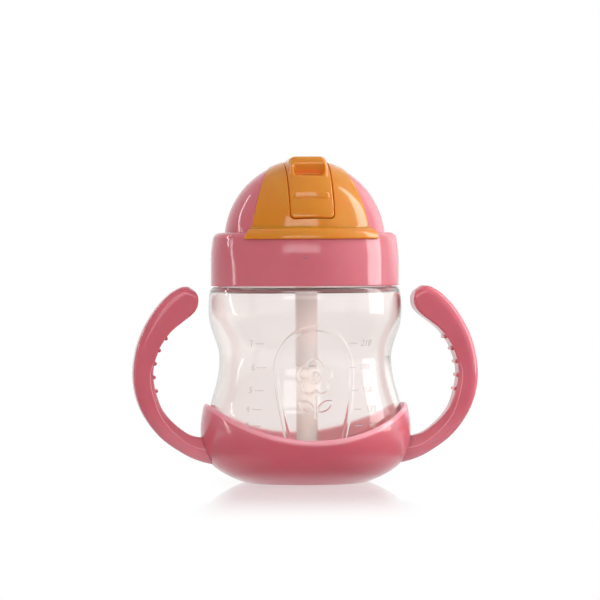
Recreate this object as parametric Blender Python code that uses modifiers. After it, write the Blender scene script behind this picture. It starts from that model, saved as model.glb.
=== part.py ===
"""A toddler's straw cup: a clear hourglass bottle in a two-handled boot, under a domed screw lid.

An orange shutter slides back over the dome and lets a soft folded straw stand up.
Metres, +Z up. The cup stands on z = 0 with its axis on Z, its front faces -Y and its handles lie along X.
"""

import math

import bmesh
import bpy
from mathutils import Matrix, Vector

# Clearance between pieces that touch, and the number of sides of a turned piece
FIT = 0.0003
SIDES = 40

# Boot: a turned cup with a saddle-shaped rim, high at the handles and low at the front and back
BASE_REST_RADIUS = 0.0250
BASE_RADIUS = 0.0425
BASE_BELLY_Z = 0.0205
BASE_RIM_RADIUS = 0.0410
BASE_RIM_HIGH = 0.0322
BASE_RIM_LOW = 0.0183
BASE_WALL = 0.0013
RIM_STOCK = 0.0015

# Bottle: follows the boot's inside, narrows to a waist, widens to the shoulder and ends in a threaded neck
BOTTLE_WALL = 0.0015
BOTTLE_SEAT_Z = 0.0285
WAIST_RADIUS = 0.0347
WAIST_Z = 0.0503
CHEST_RADIUS = 0.0390
CHEST_Z = 0.0690
SHOULDER_RADIUS = 0.0369
SHOULDER_Z = 0.0789
NECK_RADIUS = 0.0338
NECK_HEIGHT = 0.0136

# Right-hand screw thread between the neck and the collar
THREAD_PITCH = 0.0060
THREAD_TURNS = 1.0
THREAD_HEIGHT = 0.0013
THREAD_ROOT_WIDTH = 0.0022
THREAD_CREST_WIDTH = 0.0012
THREAD_PLAY = 0.0006
THREAD_RISE = 0.0051

# Screw collar, whose side leans in a little towards its rounded top edge
COLLAR_RADIUS = 0.0380
COLLAR_TAPER = 0.0008
COLLAR_TAPER_HEIGHT = 0.0125
COLLAR_LEAN = 9.0
COLLAR_EDGE = 0.0030
COLLAR_SHELF = 0.0020
COLLAR_FOOT = 0.0005

# Discs stacked between the bottle's rim and the collar's shelf
GASKET_THICKNESS = 0.0015
GASKET_WIDTH = 0.0032
DECK_THICKNESS = 0.0018
FLANGE_THICKNESS = 0.0018

# Dome, centred a little below the collar's top, with a recessed track for the shutter
DOME_DROP = 0.0034
DOME_WALL = 0.0027
TRACK_WALL = 0.0014
WINDOW_HALF_WIDTH = 0.0065
WINDOW_START = 10.0
WINDOW_END = 85.0

# Hood over the track: side planes x = HOOD_WIDTH + HOOD_FLARE * forward - HOOD_LEAN * up, from the dome's centre
HOOD_RADIUS = 0.0330
HOOD_WALL = 0.0027
HOOD_PROUD = 0.0005
HOOD_WIDTH = 0.0192
HOOD_FLARE = 0.24
HOOD_LEAN = 0.166
HOOD_BACK_WIDTH = 0.0123
LIP_THICKNESS = 0.0013
BRIM_ANGLE = 44.5
BRIM_THICKNESS = 0.00115
BRIM_GAP = 0.00035
BRIM_END_ANGLE = 10.0

# Shutter: angles are measured about the dome's cross axis, from level at the front, over the top
SLIDER_HALF_WIDTH = 0.00875
SLIDER_FOOT = 0.00165
SLIDER_START = 16.0
SLIDER_END = 98.0
SLIDER_TRAVEL = 70.0
SLOT_MARGIN = 0.6
# Thumb tab: its front leaves the shutter at TAB_START and climbs TAB_RUN back to a level top, with a scoop in its front
TAB_HALF_WIDTH = 0.0077
TAB_RISE = 0.0008
TAB_START = 51.0
TAB_RUN = 0.0085
TAB_ROUND = 0.0012
SCOOP_HALF_WIDTH = 0.0058
SCOOP_RUN = 0.0052
RIDGE_ANGLE = 34.6
RIDGE_LENGTH = 0.0140
RIDGE_RADIUS = 0.0010

# Straw: a stem through the deck, an elbow, a curved soft spout and a rigid lower tube
STRAW_OFFSET = 0.0050
STEM_RADIUS = 0.0044
STEM_BOTTOM = 0.0470
SPOUT_RADIUS = 0.0031
STRAW_BORE = 0.0018
BEAD_HEIGHT = 0.0016
ELBOW_RADIUS = 0.0045
STRAW_HEADROOM = 0.0160
FOLD_RUN = 0.0008
SPOUT_GAP = 0.0006
SPOUT_SWEEP = 80.0
TUBE_RADIUS = 0.00425
TUBE_FLOOR_GAP = 0.0030
SPIGOT_RADIUS = 0.0031
SPIGOT_LENGTH = 0.0075

# Air valve in the deck, behind the straw
VALVE_OFFSET = 0.0150
VALVE_STEM_RADIUS = 0.0014
VALVE_CAP_RADIUS = 0.0032
VALVE_CAP_THICKNESS = 0.0009

# Handles: outline points (distance from the axis, height) from the root up the outer side, then back down inside
HANDLE_DEPTH = 0.0140
HANDLE_ROUND = 0.0022
HANDLE_OUTER = [
    (0.0366, 0.0073), (0.0431, 0.0089), (0.0500, 0.0121), (0.0593, 0.0189), (0.0665, 0.0289),
    (0.0697, 0.0400), (0.0692, 0.0510), (0.0663, 0.0606), (0.0612, 0.0695), (0.0556, 0.0757),
]
HANDLE_TIP = [(0.0506, 0.0788), (0.0472, 0.0792), (0.0446, 0.0774), (0.0436, 0.0742)]
HANDLE_INNER = [
    (0.0442, 0.0705), (0.0466, 0.0676), (0.0502, 0.0648), (0.0551, 0.0606), (0.0596, 0.0537), (0.0618, 0.0440),
    (0.0597, 0.0335), (0.0558, 0.0267), (0.0482, 0.0202), (0.0415, 0.0182), (0.0366, 0.0175),
]
RIB_COUNT = 5
RIB_PITCH = 0.0056
RIB_TOP_Z = 0.0585
RIB_RADIUS = 0.0013
RIB_SINK = 0.0003
TONGUE_HALF_WIDTH = 0.0045
TONGUE_BOTTOM = 0.0122
TONGUE_TOP = 0.0166

# Heights and radii that follow from the sizes above
NECK_TOP = SHOULDER_Z + NECK_HEIGHT
GASKET_BOTTOM = NECK_TOP + FIT
DECK_BOTTOM = GASKET_BOTTOM + GASKET_THICKNESS + FIT
DECK_TOP = DECK_BOTTOM + DECK_THICKNESS
FLANGE_BOTTOM = DECK_TOP + FIT
FLANGE_TOP = FLANGE_BOTTOM + FLANGE_THICKNESS
SHELF_BOTTOM = FLANGE_TOP + FIT
COLLAR_TOP = SHELF_BOTTOM + COLLAR_SHELF
COLLAR_BOTTOM = SHOULDER_Z + FIT
EDGE_CENTRE = (COLLAR_RADIUS - COLLAR_TAPER - COLLAR_EDGE, COLLAR_TOP - COLLAR_EDGE)
COLLAR_BORE = NECK_RADIUS + THREAD_HEIGHT + THREAD_PLAY
FLANGE_RADIUS = COLLAR_BORE - FIT
DOME_Z = COLLAR_TOP - DOME_DROP
DOME_RADIUS = HOOD_RADIUS - HOOD_PROUD
HOOD_INNER = HOOD_RADIUS - HOOD_WALL
SLIDER_INNER = HOOD_INNER
TRACK_RADIUS = HOOD_INNER - FIT
TAB_TOP = HOOD_RADIUS + TAB_RISE
FOOT_RADIUS = HOOD_RADIUS - LIP_THICKNESS - FIT
SLOT_HALF_WIDTH = SLIDER_HALF_WIDTH + FIT
SLOT_START = SLIDER_START - SLOT_MARGIN
SLOT_END = SLIDER_END + SLIDER_TRAVEL + SLOT_MARGIN
HOOD_BOTTOM = COLLAR_TOP + BRIM_GAP + BRIM_THICKNESS / 2
ELBOW_Z = DOME_Z + TRACK_RADIUS - STRAW_HEADROOM
SPOUT_Z = ELBOW_Z + ELBOW_RADIUS
SPOUT_FRONT = STRAW_OFFSET + ELBOW_RADIUS + FOLD_RUN
SPOUT_ROOT = SPOUT_FRONT + FIT
# The folded spout's outer side runs round just inside the shutter
SPOUT_BEND_FRONT = SPOUT_ROOT + FOLD_RUN
SPOUT_REACH = SLIDER_INNER - SPOUT_GAP - SPOUT_RADIUS
SPOUT_HIGH = SPOUT_Z - DOME_Z
SPOUT_BEND_RADIUS = (SPOUT_REACH ** 2 - SPOUT_BEND_FRONT ** 2 - SPOUT_HIGH ** 2)
SPOUT_BEND_RADIUS /= 2 * (SPOUT_REACH - SPOUT_HIGH)
# Turning a straight straw about this point swings its free end from forward to upright, above the stem
HINGE_FRONT = STRAW_OFFSET + ELBOW_RADIUS * (1 - math.pi / 4)
HINGE_Z = ELBOW_Z + ELBOW_RADIUS * math.pi / 4


def clear_scene():
    """Empty the file and make the two collections."""
    for item in list(bpy.data.objects):
        bpy.data.objects.remove(item)
    made = []
    for name in ("sippy_cup", "cutters"):
        group = bpy.data.collections.new(name)
        bpy.context.scene.collection.children.link(group)
        made.append(group)
    return made


PARTS, CUTTERS = clear_scene()


def material(name, colour, roughness, transmission=0.0):
    """A Principled material from an sRGB hex colour."""
    linear = []
    for k in (0, 2, 4):
        value = int(colour[k:k + 2], 16) / 255
        linear.append(value / 12.92 if value <= 0.04045 else ((value + 0.055) / 1.055) ** 2.4)
    mat = bpy.data.materials.new(name)
    mat.use_nodes = True
    shader = mat.node_tree.nodes["Principled BSDF"]
    shader.inputs["Base Color"].default_value = (*linear, 1)
    shader.inputs["Roughness"].default_value = roughness
    shader.inputs["Metallic"].default_value = 0.0
    shader.inputs["Transmission Weight"].default_value = transmission
    mat.diffuse_color = (*linear, 1)
    return mat


def add(name, mesh, collection):
    """Link a new object; a cutter is only drawn as wire."""
    item = bpy.data.objects.new(name, mesh)
    collection.objects.link(item)
    if collection is CUTTERS:
        item.hide_render = True
        item.display_type = "WIRE"
    return item


def arc(centre, radius, start, end, steps):
    """Points on a circle in the (radius, height) plane, angles in degrees."""
    points = []
    for k in range(steps + 1):
        angle = math.radians(start + (end - start) * k / steps)
        points.append((centre[0] + radius * math.cos(angle), centre[1] + radius * math.sin(angle)))
    return points


def bezier(a, b, c, d, steps):
    """Points along a cubic curve, without its first point."""
    points = []
    for k in range(1, steps + 1):
        t = k / steps
        w = ((1 - t) ** 3, 3 * t * (1 - t) ** 2, 3 * t * t * (1 - t), t ** 3)
        points.append(tuple(w[0] * a[i] + w[1] * b[i] + w[2] * c[i] + w[3] * d[i] for i in (0, 1)))
    return points


def smooth(points, steps):
    """Points on a smooth curve through the given ones."""
    result = []
    for k in range(len(points) - 1):
        p = [Vector(points[min(max(k + j, 0), len(points) - 1)]) for j in (-1, 0, 1, 2)]
        for s in range(steps):
            t = s / steps
            q = p[1] * 2 + (p[2] - p[0]) * t + (p[0] * 2 - p[1] * 5 + p[2] * 4 - p[3]) * t * t
            q += (p[1] * 3 - p[0] - p[2] * 3 + p[3]) * t ** 3
            result.append((q.x / 2, q.y / 2))
    result.append(tuple(points[-1]))
    return result


def offset(points, distance):
    """Move a profile to its left by a distance; its first point stays on the axis if it was there."""
    result = []
    for k, point in enumerate(points):
        normals = []
        for a, b in ((k - 1, k), (k, k + 1)):
            if a >= 0 and b < len(points):
                run = (Vector(points[b]) - Vector(points[a])).normalized()
                normals.append(Vector((-run.y, run.x)))
        middle = (normals[0] + normals[-1]).normalized()
        moved = Vector(point) + middle * distance / middle.dot(normals[0])
        result.append((0.0 if point[0] == 0 else moved.x, moved.y))
    return result


def turned(name, profile, collection, closed=False, front=0.0):
    """Turn a profile about a vertical axis. It runs down its outer side; a ring's profile is closed."""
    mesh = bpy.data.meshes.new(name)
    edges = [(k, k + 1) for k in range(len(profile) - 1)]
    if closed:
        edges.append((len(profile) - 1, 0))
    mesh.from_pydata([(r, 0, z) for r, z in profile], edges, [])
    item = add(name, mesh, collection)
    item.location = (0, -front, 0)
    screw = item.modifiers.new("turn", "SCREW")
    screw.axis = "Z"
    screw.steps = SIDES
    screw.render_steps = SIDES
    screw.use_merge_vertices = True
    screw.merge_threshold = 0.00001
    screw.use_smooth_shade = True
    return item


def spun(name, section, collection, axis, angle, steps, lift=0.0):
    """Sweep a flat section, given as 3D points, about an axis through the object's origin."""
    shape = bmesh.new()
    face = shape.faces.new([shape.verts.new(p) for p in section])
    geometry = [face, *face.edges, *face.verts]
    bmesh.ops.spin(shape, geom=geometry, cent=(0, 0, 0), axis=axis, angle=math.radians(angle),
                   steps=steps, dvec=(0, 0, lift / steps), use_duplicate=False)
    bmesh.ops.recalc_face_normals(shape, faces=shape.faces)
    mesh = bpy.data.meshes.new(name)
    shape.to_mesh(mesh)
    shape.free()
    return add(name, mesh, collection)


def over_dome(name, section, collection, start, end, step=5.0):
    """Sweep a section of (x, distance from the cross axis) points over the dome, front to back."""
    turn = Matrix.Rotation(math.radians(-start), 3, "X")
    points = [turn @ Vector((x, -reach, 0)) for x, reach in section]
    item = spun(name, points, collection, (-1, 0, 0), end - start, max(2, round((end - start) / step)))
    item.location = (0, 0, DOME_Z)
    return item


def block(name, low, high, collection):
    """A box between two corners."""
    shape = bmesh.new()
    bmesh.ops.create_cube(shape, size=1)
    low, high = Vector(low), Vector(high)
    bmesh.ops.scale(shape, vec=high - low, verts=shape.verts)
    bmesh.ops.translate(shape, vec=(low + high) / 2, verts=shape.verts)
    mesh = bpy.data.meshes.new(name)
    shape.to_mesh(mesh)
    shape.free()
    return add(name, mesh, collection)


def rod(name, radius, length, sides, matrix):
    """A short cylinder along the matrix's Z axis, to be joined to a piece."""
    shape = bmesh.new()
    bmesh.ops.create_cone(shape, cap_ends=True, segments=sides, radius1=radius, radius2=radius, depth=length)
    bmesh.ops.transform(shape, matrix=matrix, verts=shape.verts)
    mesh = bpy.data.meshes.new(name)
    shape.to_mesh(mesh)
    shape.free()
    return add(name, mesh, CUTTERS)


def tube(name, path, radius, collection):
    """A solid rod along points (forward, height) in the plane x = 0, as a mesh."""
    curve = bpy.data.curves.new(name, "CURVE")
    curve.dimensions = "3D"
    curve.bevel_depth = radius
    curve.bevel_resolution = 2
    curve.use_fill_caps = True
    spline = curve.splines.new("POLY")
    spline.points.add(len(path) - 1)
    for point, (front, height) in zip(spline.points, path):
        point.co = (0, -front, height, 1)
    return curve_to_mesh(name, curve, collection, Matrix.Identity(4))


def curve_to_mesh(name, curve, collection, matrix):
    """Replace a curve by a welded mesh."""
    guide = bpy.data.objects.new(name + "_curve", curve)
    CUTTERS.objects.link(guide)
    guide.matrix_world = matrix
    bpy.context.view_layer.update()
    mesh = bpy.data.meshes.new_from_object(guide.evaluated_get(bpy.context.evaluated_depsgraph_get()))
    shape = bmesh.new()
    shape.from_mesh(mesh)
    bmesh.ops.remove_doubles(shape, verts=shape.verts, dist=0.000001)
    bmesh.ops.recalc_face_normals(shape, faces=shape.faces)
    shape.to_mesh(mesh)
    shape.free()
    mesh.materials.clear()
    item = add(name, mesh, collection)
    item.matrix_world = matrix
    bpy.data.objects.remove(guide)
    return item


def crossbar(name, outline, half, edge):
    """A bar across the lid from an outline of (forward, up) points about the dome's centre, its side edges rounded."""
    curve = bpy.data.curves.new(name, "CURVE")
    curve.dimensions = "2D"
    curve.fill_mode = "BOTH"
    curve.extrude = half - edge
    curve.bevel_depth = edge
    curve.bevel_resolution = 1
    curve.offset = -edge
    spline = curve.splines.new("POLY")
    spline.points.add(len(outline) - 1)
    for point, (front, up) in zip(spline.points, outline):
        point.co = (front, up, 0, 1)
    spline.use_cyclic_u = True
    turn = Matrix(((0, 0, -1, 0), (-1, 0, 0, 0), (0, 1, 0, DOME_Z), (0, 0, 0, 1)))
    return curve_to_mesh(name, curve, CUTTERS, turn)


def combine(target, other, operation):
    """Cut, join or intersect with another object."""
    modifier = target.modifiers.new(operation.lower() + "_" + other.name, "BOOLEAN")
    modifier.operation = operation
    modifier.object = other
    modifier.solver = "EXACT"


def place_origin(item, point):
    """Move an object's origin to a point without moving its shape."""
    shift = Vector(point) - item.location
    item.data.transform(Matrix.Translation(-shift))
    item.location = point


def finish(item, mat):
    """Give a piece its material and shade its round faces smooth."""
    item.data.materials.append(mat)
    item.data.shade_smooth()
    if len(item.data.polygons):
        item.data.set_sharp_from_angle(angle=math.radians(35))


def base_outline():
    """The boot's outer profile from the axis to its rim, with a little stock above it to trim."""
    belly = (BASE_RADIUS, BASE_BELLY_Z)
    heel = (BASE_REST_RADIUS + 0.59 * (BASE_RADIUS - BASE_REST_RADIUS), 0.215 * BASE_BELLY_Z)
    side = (BASE_RADIUS, 0.415 * BASE_BELLY_Z)
    rise = BASE_RIM_HIGH - BASE_BELLY_Z
    pull = BASE_RADIUS - BASE_RIM_RADIUS
    points = [(0.0, 0.0), (BASE_REST_RADIUS, 0.0)]
    points += bezier(points[-1], heel, side, belly, 6)
    rim = (BASE_RIM_RADIUS, BASE_RIM_HIGH)
    points += bezier(belly, (BASE_RADIUS, BASE_BELLY_Z + rise * 0.4),
                     (BASE_RIM_RADIUS + 0.47 * pull, BASE_RIM_HIGH - rise * 0.3), rim, 3)
    points.append((BASE_RIM_RADIUS - 0.2 * RIM_STOCK, BASE_RIM_HIGH + RIM_STOCK))
    return points


def radius_at(profile, height):
    """The radius of a rising profile at a height."""
    for (r0, z0), (r1, z1) in zip(profile, profile[1:]):
        if z0 <= height <= z1 and z1 > z0:
            return r0 + (r1 - r0) * (height - z0) / (z1 - z0)
    return profile[-1][0]


def make_base(mat):
    """Boot: a shell cut along its rim by a cylinder across the front, with a window for each handle's tongue."""
    outer = base_outline()
    inner = offset(outer, BASE_WALL)
    item = turned("base_cup", inner + outer[::-1], PARTS)
    drop = BASE_RIM_HIGH - BASE_RIM_LOW
    saddle = (BASE_RIM_RADIUS ** 2 + drop ** 2) / (2 * drop)
    bpy.ops.mesh.primitive_cylinder_add(vertices=96, radius=saddle, depth=4 * BASE_RADIUS,
                                        location=(0, 0, BASE_RIM_LOW + saddle), rotation=(math.pi / 2, 0, 0))
    cutter = bpy.context.object
    cutter.name = "saddle_cutter"
    for group in list(cutter.users_collection):
        group.objects.unlink(cutter)
    CUTTERS.objects.link(cutter)
    cutter.hide_render = True
    cutter.display_type = "WIRE"
    combine(item, cutter, "DIFFERENCE")
    half = TONGUE_HALF_WIDTH + FIT
    for side in (-1, 1):
        ends = sorted((side * BASE_REST_RADIUS, side * BASE_RADIUS * 1.2))
        window = block(f"window_cutter_{side}", (ends[0], -half, TONGUE_BOTTOM - FIT),
                       (ends[1], half, TONGUE_TOP + FIT), CUTTERS)
        combine(item, window, "DIFFERENCE")
    finish(item, mat)


def rib_places(path):
    """Evenly spaced points down a path from the first rib's height, each with the path's direction."""
    places = []
    wanted = None
    walked = 0.0
    for a, b in zip(path, path[1:]):
        a, b = Vector(a), Vector(b)
        run = (b - a).length
        if wanted is None and b.y <= RIB_TOP_Z:
            wanted = walked + run * (a.y - RIB_TOP_Z) / (a.y - b.y)
        while wanted is not None and wanted <= walked + run and len(places) < RIB_COUNT:
            places.append((a + (b - a) * (wanted - walked) / run, (b - a).normalized()))
            wanted += RIB_PITCH
        walked += run
    return places


def make_handle(name, side, mat):
    """C-shaped grip: a rounded flat outline, cut to the boot's side, with ribs and a tongue at the root."""
    inner = smooth(HANDLE_INNER, 3)
    outline = smooth(HANDLE_OUTER, 3) + smooth(HANDLE_TIP, 3) + inner
    outline = [(BASE_REST_RADIUS, outline[0][1])] + outline + [(BASE_REST_RADIUS, outline[-1][1])]
    curve = bpy.data.curves.new(name, "CURVE")
    curve.dimensions = "2D"
    curve.fill_mode = "BOTH"
    curve.extrude = HANDLE_DEPTH / 2 - HANDLE_ROUND
    curve.bevel_depth = HANDLE_ROUND
    curve.bevel_resolution = 1
    curve.offset = -HANDLE_ROUND
    spline = curve.splines.new("POLY")
    spline.points.add(len(outline) - 1)
    for point, (reach, height) in zip(spline.points, outline):
        point.co = (side * reach, height, 0, 1)
    spline.use_cyclic_u = True
    item = curve_to_mesh(name, curve, PARTS, Matrix.Rotation(math.pi / 2, 4, "X"))
    item.data.transform(item.matrix_world)
    item.matrix_world = Matrix.Identity(4)

    outer = base_outline()
    space = offset(outer, -FIT)[::-1]
    space.insert(0, (0.0, space[0][1]))
    room = turned(f"{name}_boot_space", space, CUTTERS)
    combine(item, room, "DIFFERENCE")

    inside = radius_at(outer, TONGUE_TOP) - BASE_WALL + FIT
    ends = sorted((side * inside, side * (BASE_RADIUS + 3 * BASE_WALL)))
    tongue = block(f"{name}_tongue", (ends[0], -TONGUE_HALF_WIDTH, TONGUE_BOTTOM),
                   (ends[1], TONGUE_HALF_WIDTH, TONGUE_TOP), CUTTERS)
    combine(item, tongue, "UNION")

    for k, (spot, along) in enumerate(rib_places(inner)):
        centre = spot + Vector((-along.y, along.x)) * RIB_SINK
        rib = rod(f"{name}_rib_{k}", RIB_RADIUS, HANDLE_DEPTH - 2 * HANDLE_ROUND, 10,
                  Matrix.Translation((side * centre.x, 0, centre.y)) @ Matrix.Rotation(math.pi / 2, 4, "X"))
        combine(item, rib, "UNION")
    finish(item, mat)


def bottle_outline():
    """The bottle's outer profile from the axis to the neck's rim, slim enough below to lift past the boot's rim."""
    shell = offset(base_outline(), BASE_WALL + FIT)
    clear = [(min(r for r, _ in shell[k:]), z) for k, (_, z) in enumerate(shell)]
    points = [p for p in clear if p[1] < BOTTLE_SEAT_Z]
    seat = (radius_at(clear, BOTTLE_SEAT_Z), BOTTLE_SEAT_Z)
    rise = WAIST_Z - BOTTLE_SEAT_Z
    points.append(seat)
    points += bezier(seat, (seat[0], BOTTLE_SEAT_Z + 0.344 * rise), (WAIST_RADIUS, WAIST_Z - 0.472 * rise),
                     (WAIST_RADIUS, WAIST_Z), 4)
    rise = CHEST_Z - WAIST_Z
    points += bezier(points[-1], (WAIST_RADIUS, WAIST_Z + 0.332 * rise), (CHEST_RADIUS, CHEST_Z - 0.412 * rise),
                     (CHEST_RADIUS, CHEST_Z), 4)
    rise = SHOULDER_Z - CHEST_Z
    turn = CHEST_RADIUS - 0.2 * (CHEST_RADIUS - SHOULDER_RADIUS)
    points += bezier(points[-1], (CHEST_RADIUS, CHEST_Z + 0.62 * rise), (turn, SHOULDER_Z),
                     (SHOULDER_RADIUS, SHOULDER_Z), 3)
    points += [(NECK_RADIUS, SHOULDER_Z), (NECK_RADIUS, NECK_TOP)]
    return points


def ridge(name, root, crest, start_z):
    """One helical thread ridge from a root radius, sunk in its wall, to a crest radius."""
    sink = 0.3 if crest > root else -0.3
    base = root - sink * THREAD_HEIGHT
    half_root = THREAD_ROOT_WIDTH / 2
    half_crest = THREAD_CREST_WIDTH / 2
    flank = [(base, -half_root), (root, -half_root), (crest, -half_crest)]
    flank += [(crest, half_crest), (root, half_root), (base, half_root)]
    section = [(radius, 0, start_z + rise) for radius, rise in flank]
    return spun(name, section, CUTTERS, (0, 0, 1), 360 * THREAD_TURNS * 0.98, round(SIDES * THREAD_TURNS),
                lift=THREAD_PITCH * THREAD_TURNS * 0.98)


def make_bottle(mat):
    """Clear bottle with its thread."""
    outer = bottle_outline()
    inner = offset(outer, BOTTLE_WALL)
    item = turned("bottle", inner + outer[::-1], PARTS)
    crest = NECK_RADIUS + THREAD_HEIGHT
    combine(item, ridge("neck_thread", NECK_RADIUS, crest, SHOULDER_Z + THREAD_RISE), "UNION")
    finish(item, mat)


def make_collar(mat):
    """Screw collar: a ring with a rounded shoulder, a shelf over the dome's flange and an inner thread."""
    opening = DOME_RADIUS + FIT
    profile = [(opening, COLLAR_TOP)]
    profile += arc(EDGE_CENTRE, COLLAR_EDGE, 90, COLLAR_LEAN, 6)
    lean = math.radians(COLLAR_LEAN)
    side = (COLLAR_RADIUS, COLLAR_TOP - COLLAR_TAPER_HEIGHT)
    run = 0.4 * (profile[-1][1] - side[1])
    profile += bezier(profile[-1], (profile[-1][0] + run * math.tan(lean), profile[-1][1] - run),
                      (side[0], side[1] + run), side, 4)
    profile += [(COLLAR_RADIUS, COLLAR_BOTTOM + COLLAR_FOOT), (COLLAR_RADIUS - COLLAR_FOOT, COLLAR_BOTTOM),
                (COLLAR_BORE, COLLAR_BOTTOM), (COLLAR_BORE, SHELF_BOTTOM), (opening, SHELF_BOTTOM)]
    item = turned("screw_collar", profile, PARTS, closed=True)
    start = SHOULDER_Z + THREAD_RISE - THREAD_PITCH / 2
    combine(item, ridge("collar_thread", COLLAR_BORE, COLLAR_BORE - THREAD_HEIGHT, start), "UNION")
    finish(item, mat)


def wedge(name, grow, bottom):
    """The hood's plan: two leaning side planes that narrow towards the back, where they run straight."""
    far = 2 * DOME_RADIUS
    levels = []
    for z in (bottom, DOME_Z + far):
        wide = HOOD_WIDTH + grow - HOOD_LEAN * (z - DOME_Z)
        back = HOOD_BACK_WIDTH + grow
        bend = (wide - back) / HOOD_FLARE
        levels.append([(wide + HOOD_FLARE * far, -far, z), (back, bend, z), (back, far + bend, z)])
    shape = bmesh.new()
    rings = []
    for right in levels:
        left = [(-x, y, z) for x, y, z in reversed(right)]
        rings.append([shape.verts.new(p) for p in right + left])
    shape.faces.new(reversed(rings[0]))
    shape.faces.new(rings[1])
    count = len(rings[0])
    for k in range(count):
        n = (k + 1) % count
        shape.faces.new((rings[0][k], rings[0][n], rings[1][n], rings[1][k]))
    bmesh.ops.recalc_face_normals(shape, faces=shape.faces)
    mesh = bpy.data.meshes.new(name)
    shape.to_mesh(mesh)
    shape.free()
    return add(name, mesh, CUTTERS)


def round_shell(name, outer, inner, bottom, collection):
    """A domed shell about the dome's centre, from its top down to a height."""
    low = bottom - DOME_Z
    profile = arc((0, DOME_Z), outer, 90, math.degrees(math.asin(low / outer)), 9)
    profile += arc((0, DOME_Z), inner, math.degrees(math.asin(low / inner)), 90, 9)
    profile[0] = (0.0, profile[0][1])
    profile[-1] = (0.0, profile[-1][1])
    return turned(name, profile, collection)


def reach(radius, x):
    """Distance from the dome's cross axis to a sphere about its centre, at a given x."""
    return math.sqrt(radius ** 2 - x ** 2)


def band(radius, half, steps):
    """Points across the top of a sphere about the dome's centre, from left to right."""
    return [(x, reach(radius, x)) for x in (half * (2 * k / steps - 1) for k in range(steps + 1))]


def make_dome(mat):
    """Dome: a flanged shell whose middle is sunk into a track, with a window for the straw."""
    inner = DOME_RADIUS - DOME_WALL
    low = math.degrees(math.asin((FLANGE_TOP - DOME_Z) / DOME_RADIUS))
    profile = arc((0, DOME_Z), DOME_RADIUS, 90, low, 9)
    profile[0] = (0.0, profile[0][1])
    profile += [(FLANGE_RADIUS, FLANGE_TOP), (FLANGE_RADIUS, FLANGE_BOTTOM), (inner, FLANGE_BOTTOM)]
    profile += arc((0, DOME_Z), inner, 0, 90, 9)
    profile[-1] = (0.0, profile[-1][1])
    item = turned("dome_cap", profile, PARTS)
    combine(item, wedge("rebate_cutter", 0.0, COLLAR_TOP), "DIFFERENCE")
    floor = round_shell("track_floor", TRACK_RADIUS, TRACK_RADIUS - TRACK_WALL, FLANGE_TOP, CUTTERS)
    combine(floor, wedge("track_limits", DOME_WALL, FLANGE_BOTTOM), "INTERSECT")
    combine(item, floor, "UNION")
    half = WINDOW_HALF_WIDTH
    section = [(-half, DOME_RADIUS * 0.7), (half, DOME_RADIUS * 0.7), (half, HOOD_RADIUS), (-half, HOOD_RADIUS)]
    combine(item, over_dome("straw_window_cutter", section, CUTTERS, WINDOW_START, WINDOW_END), "DIFFERENCE")
    finish(item, mat)


def make_hood(mat):
    """Hood: a wedge of a sphere over the track, with a T-shaped slot and a brim over the collar's shoulder."""
    item = round_shell("slider_hood", HOOD_RADIUS, HOOD_INNER, HOOD_BOTTOM, PARTS)
    combine(item, wedge("hood_limits", -FIT, FLANGE_BOTTOM), "INTERSECT")
    under = COLLAR_EDGE + BRIM_GAP
    over = under + BRIM_THICKNESS
    root = (HOOD_RADIUS + HOOD_INNER) / 2
    flat = [(root, EDGE_CENTRE[1] + over)] + arc(EDGE_CENTRE, over, 90, BRIM_END_ANGLE, 5)
    flat += arc(EDGE_CENTRE, under, BRIM_END_ANGLE, 90, 5) + [(root, EDGE_CENTRE[1] + under)]
    turn = Matrix.Rotation(math.radians(-BRIM_ANGLE), 3, "Z")
    section = [turn @ Vector((0, -r, z)) for r, z in flat]
    combine(item, spun("brim", section, CUTTERS, (0, 0, 1), 2 * BRIM_ANGLE, 14), "UNION")
    lip = HOOD_RADIUS - LIP_THICKNESS
    wide = SLIDER_HALF_WIDTH + SLIDER_FOOT + FIT
    half = SLOT_HALF_WIDTH
    slot = [(-wide, reach(HOOD_INNER, wide) - LIP_THICKNESS), (wide, reach(HOOD_INNER, wide) - LIP_THICKNESS)]
    slot += [(wide, reach(lip, wide)), (half, reach(lip, half))]
    slot += [(half, HOOD_RADIUS + LIP_THICKNESS), (-half, HOOD_RADIUS + LIP_THICKNESS)]
    slot += [(-half, reach(lip, half)), (-wide, reach(lip, wide))]
    combine(item, over_dome("slot_cutter", slot, CUTTERS, SLOT_START, SLOT_END), "DIFFERENCE")
    finish(item, mat)


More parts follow.
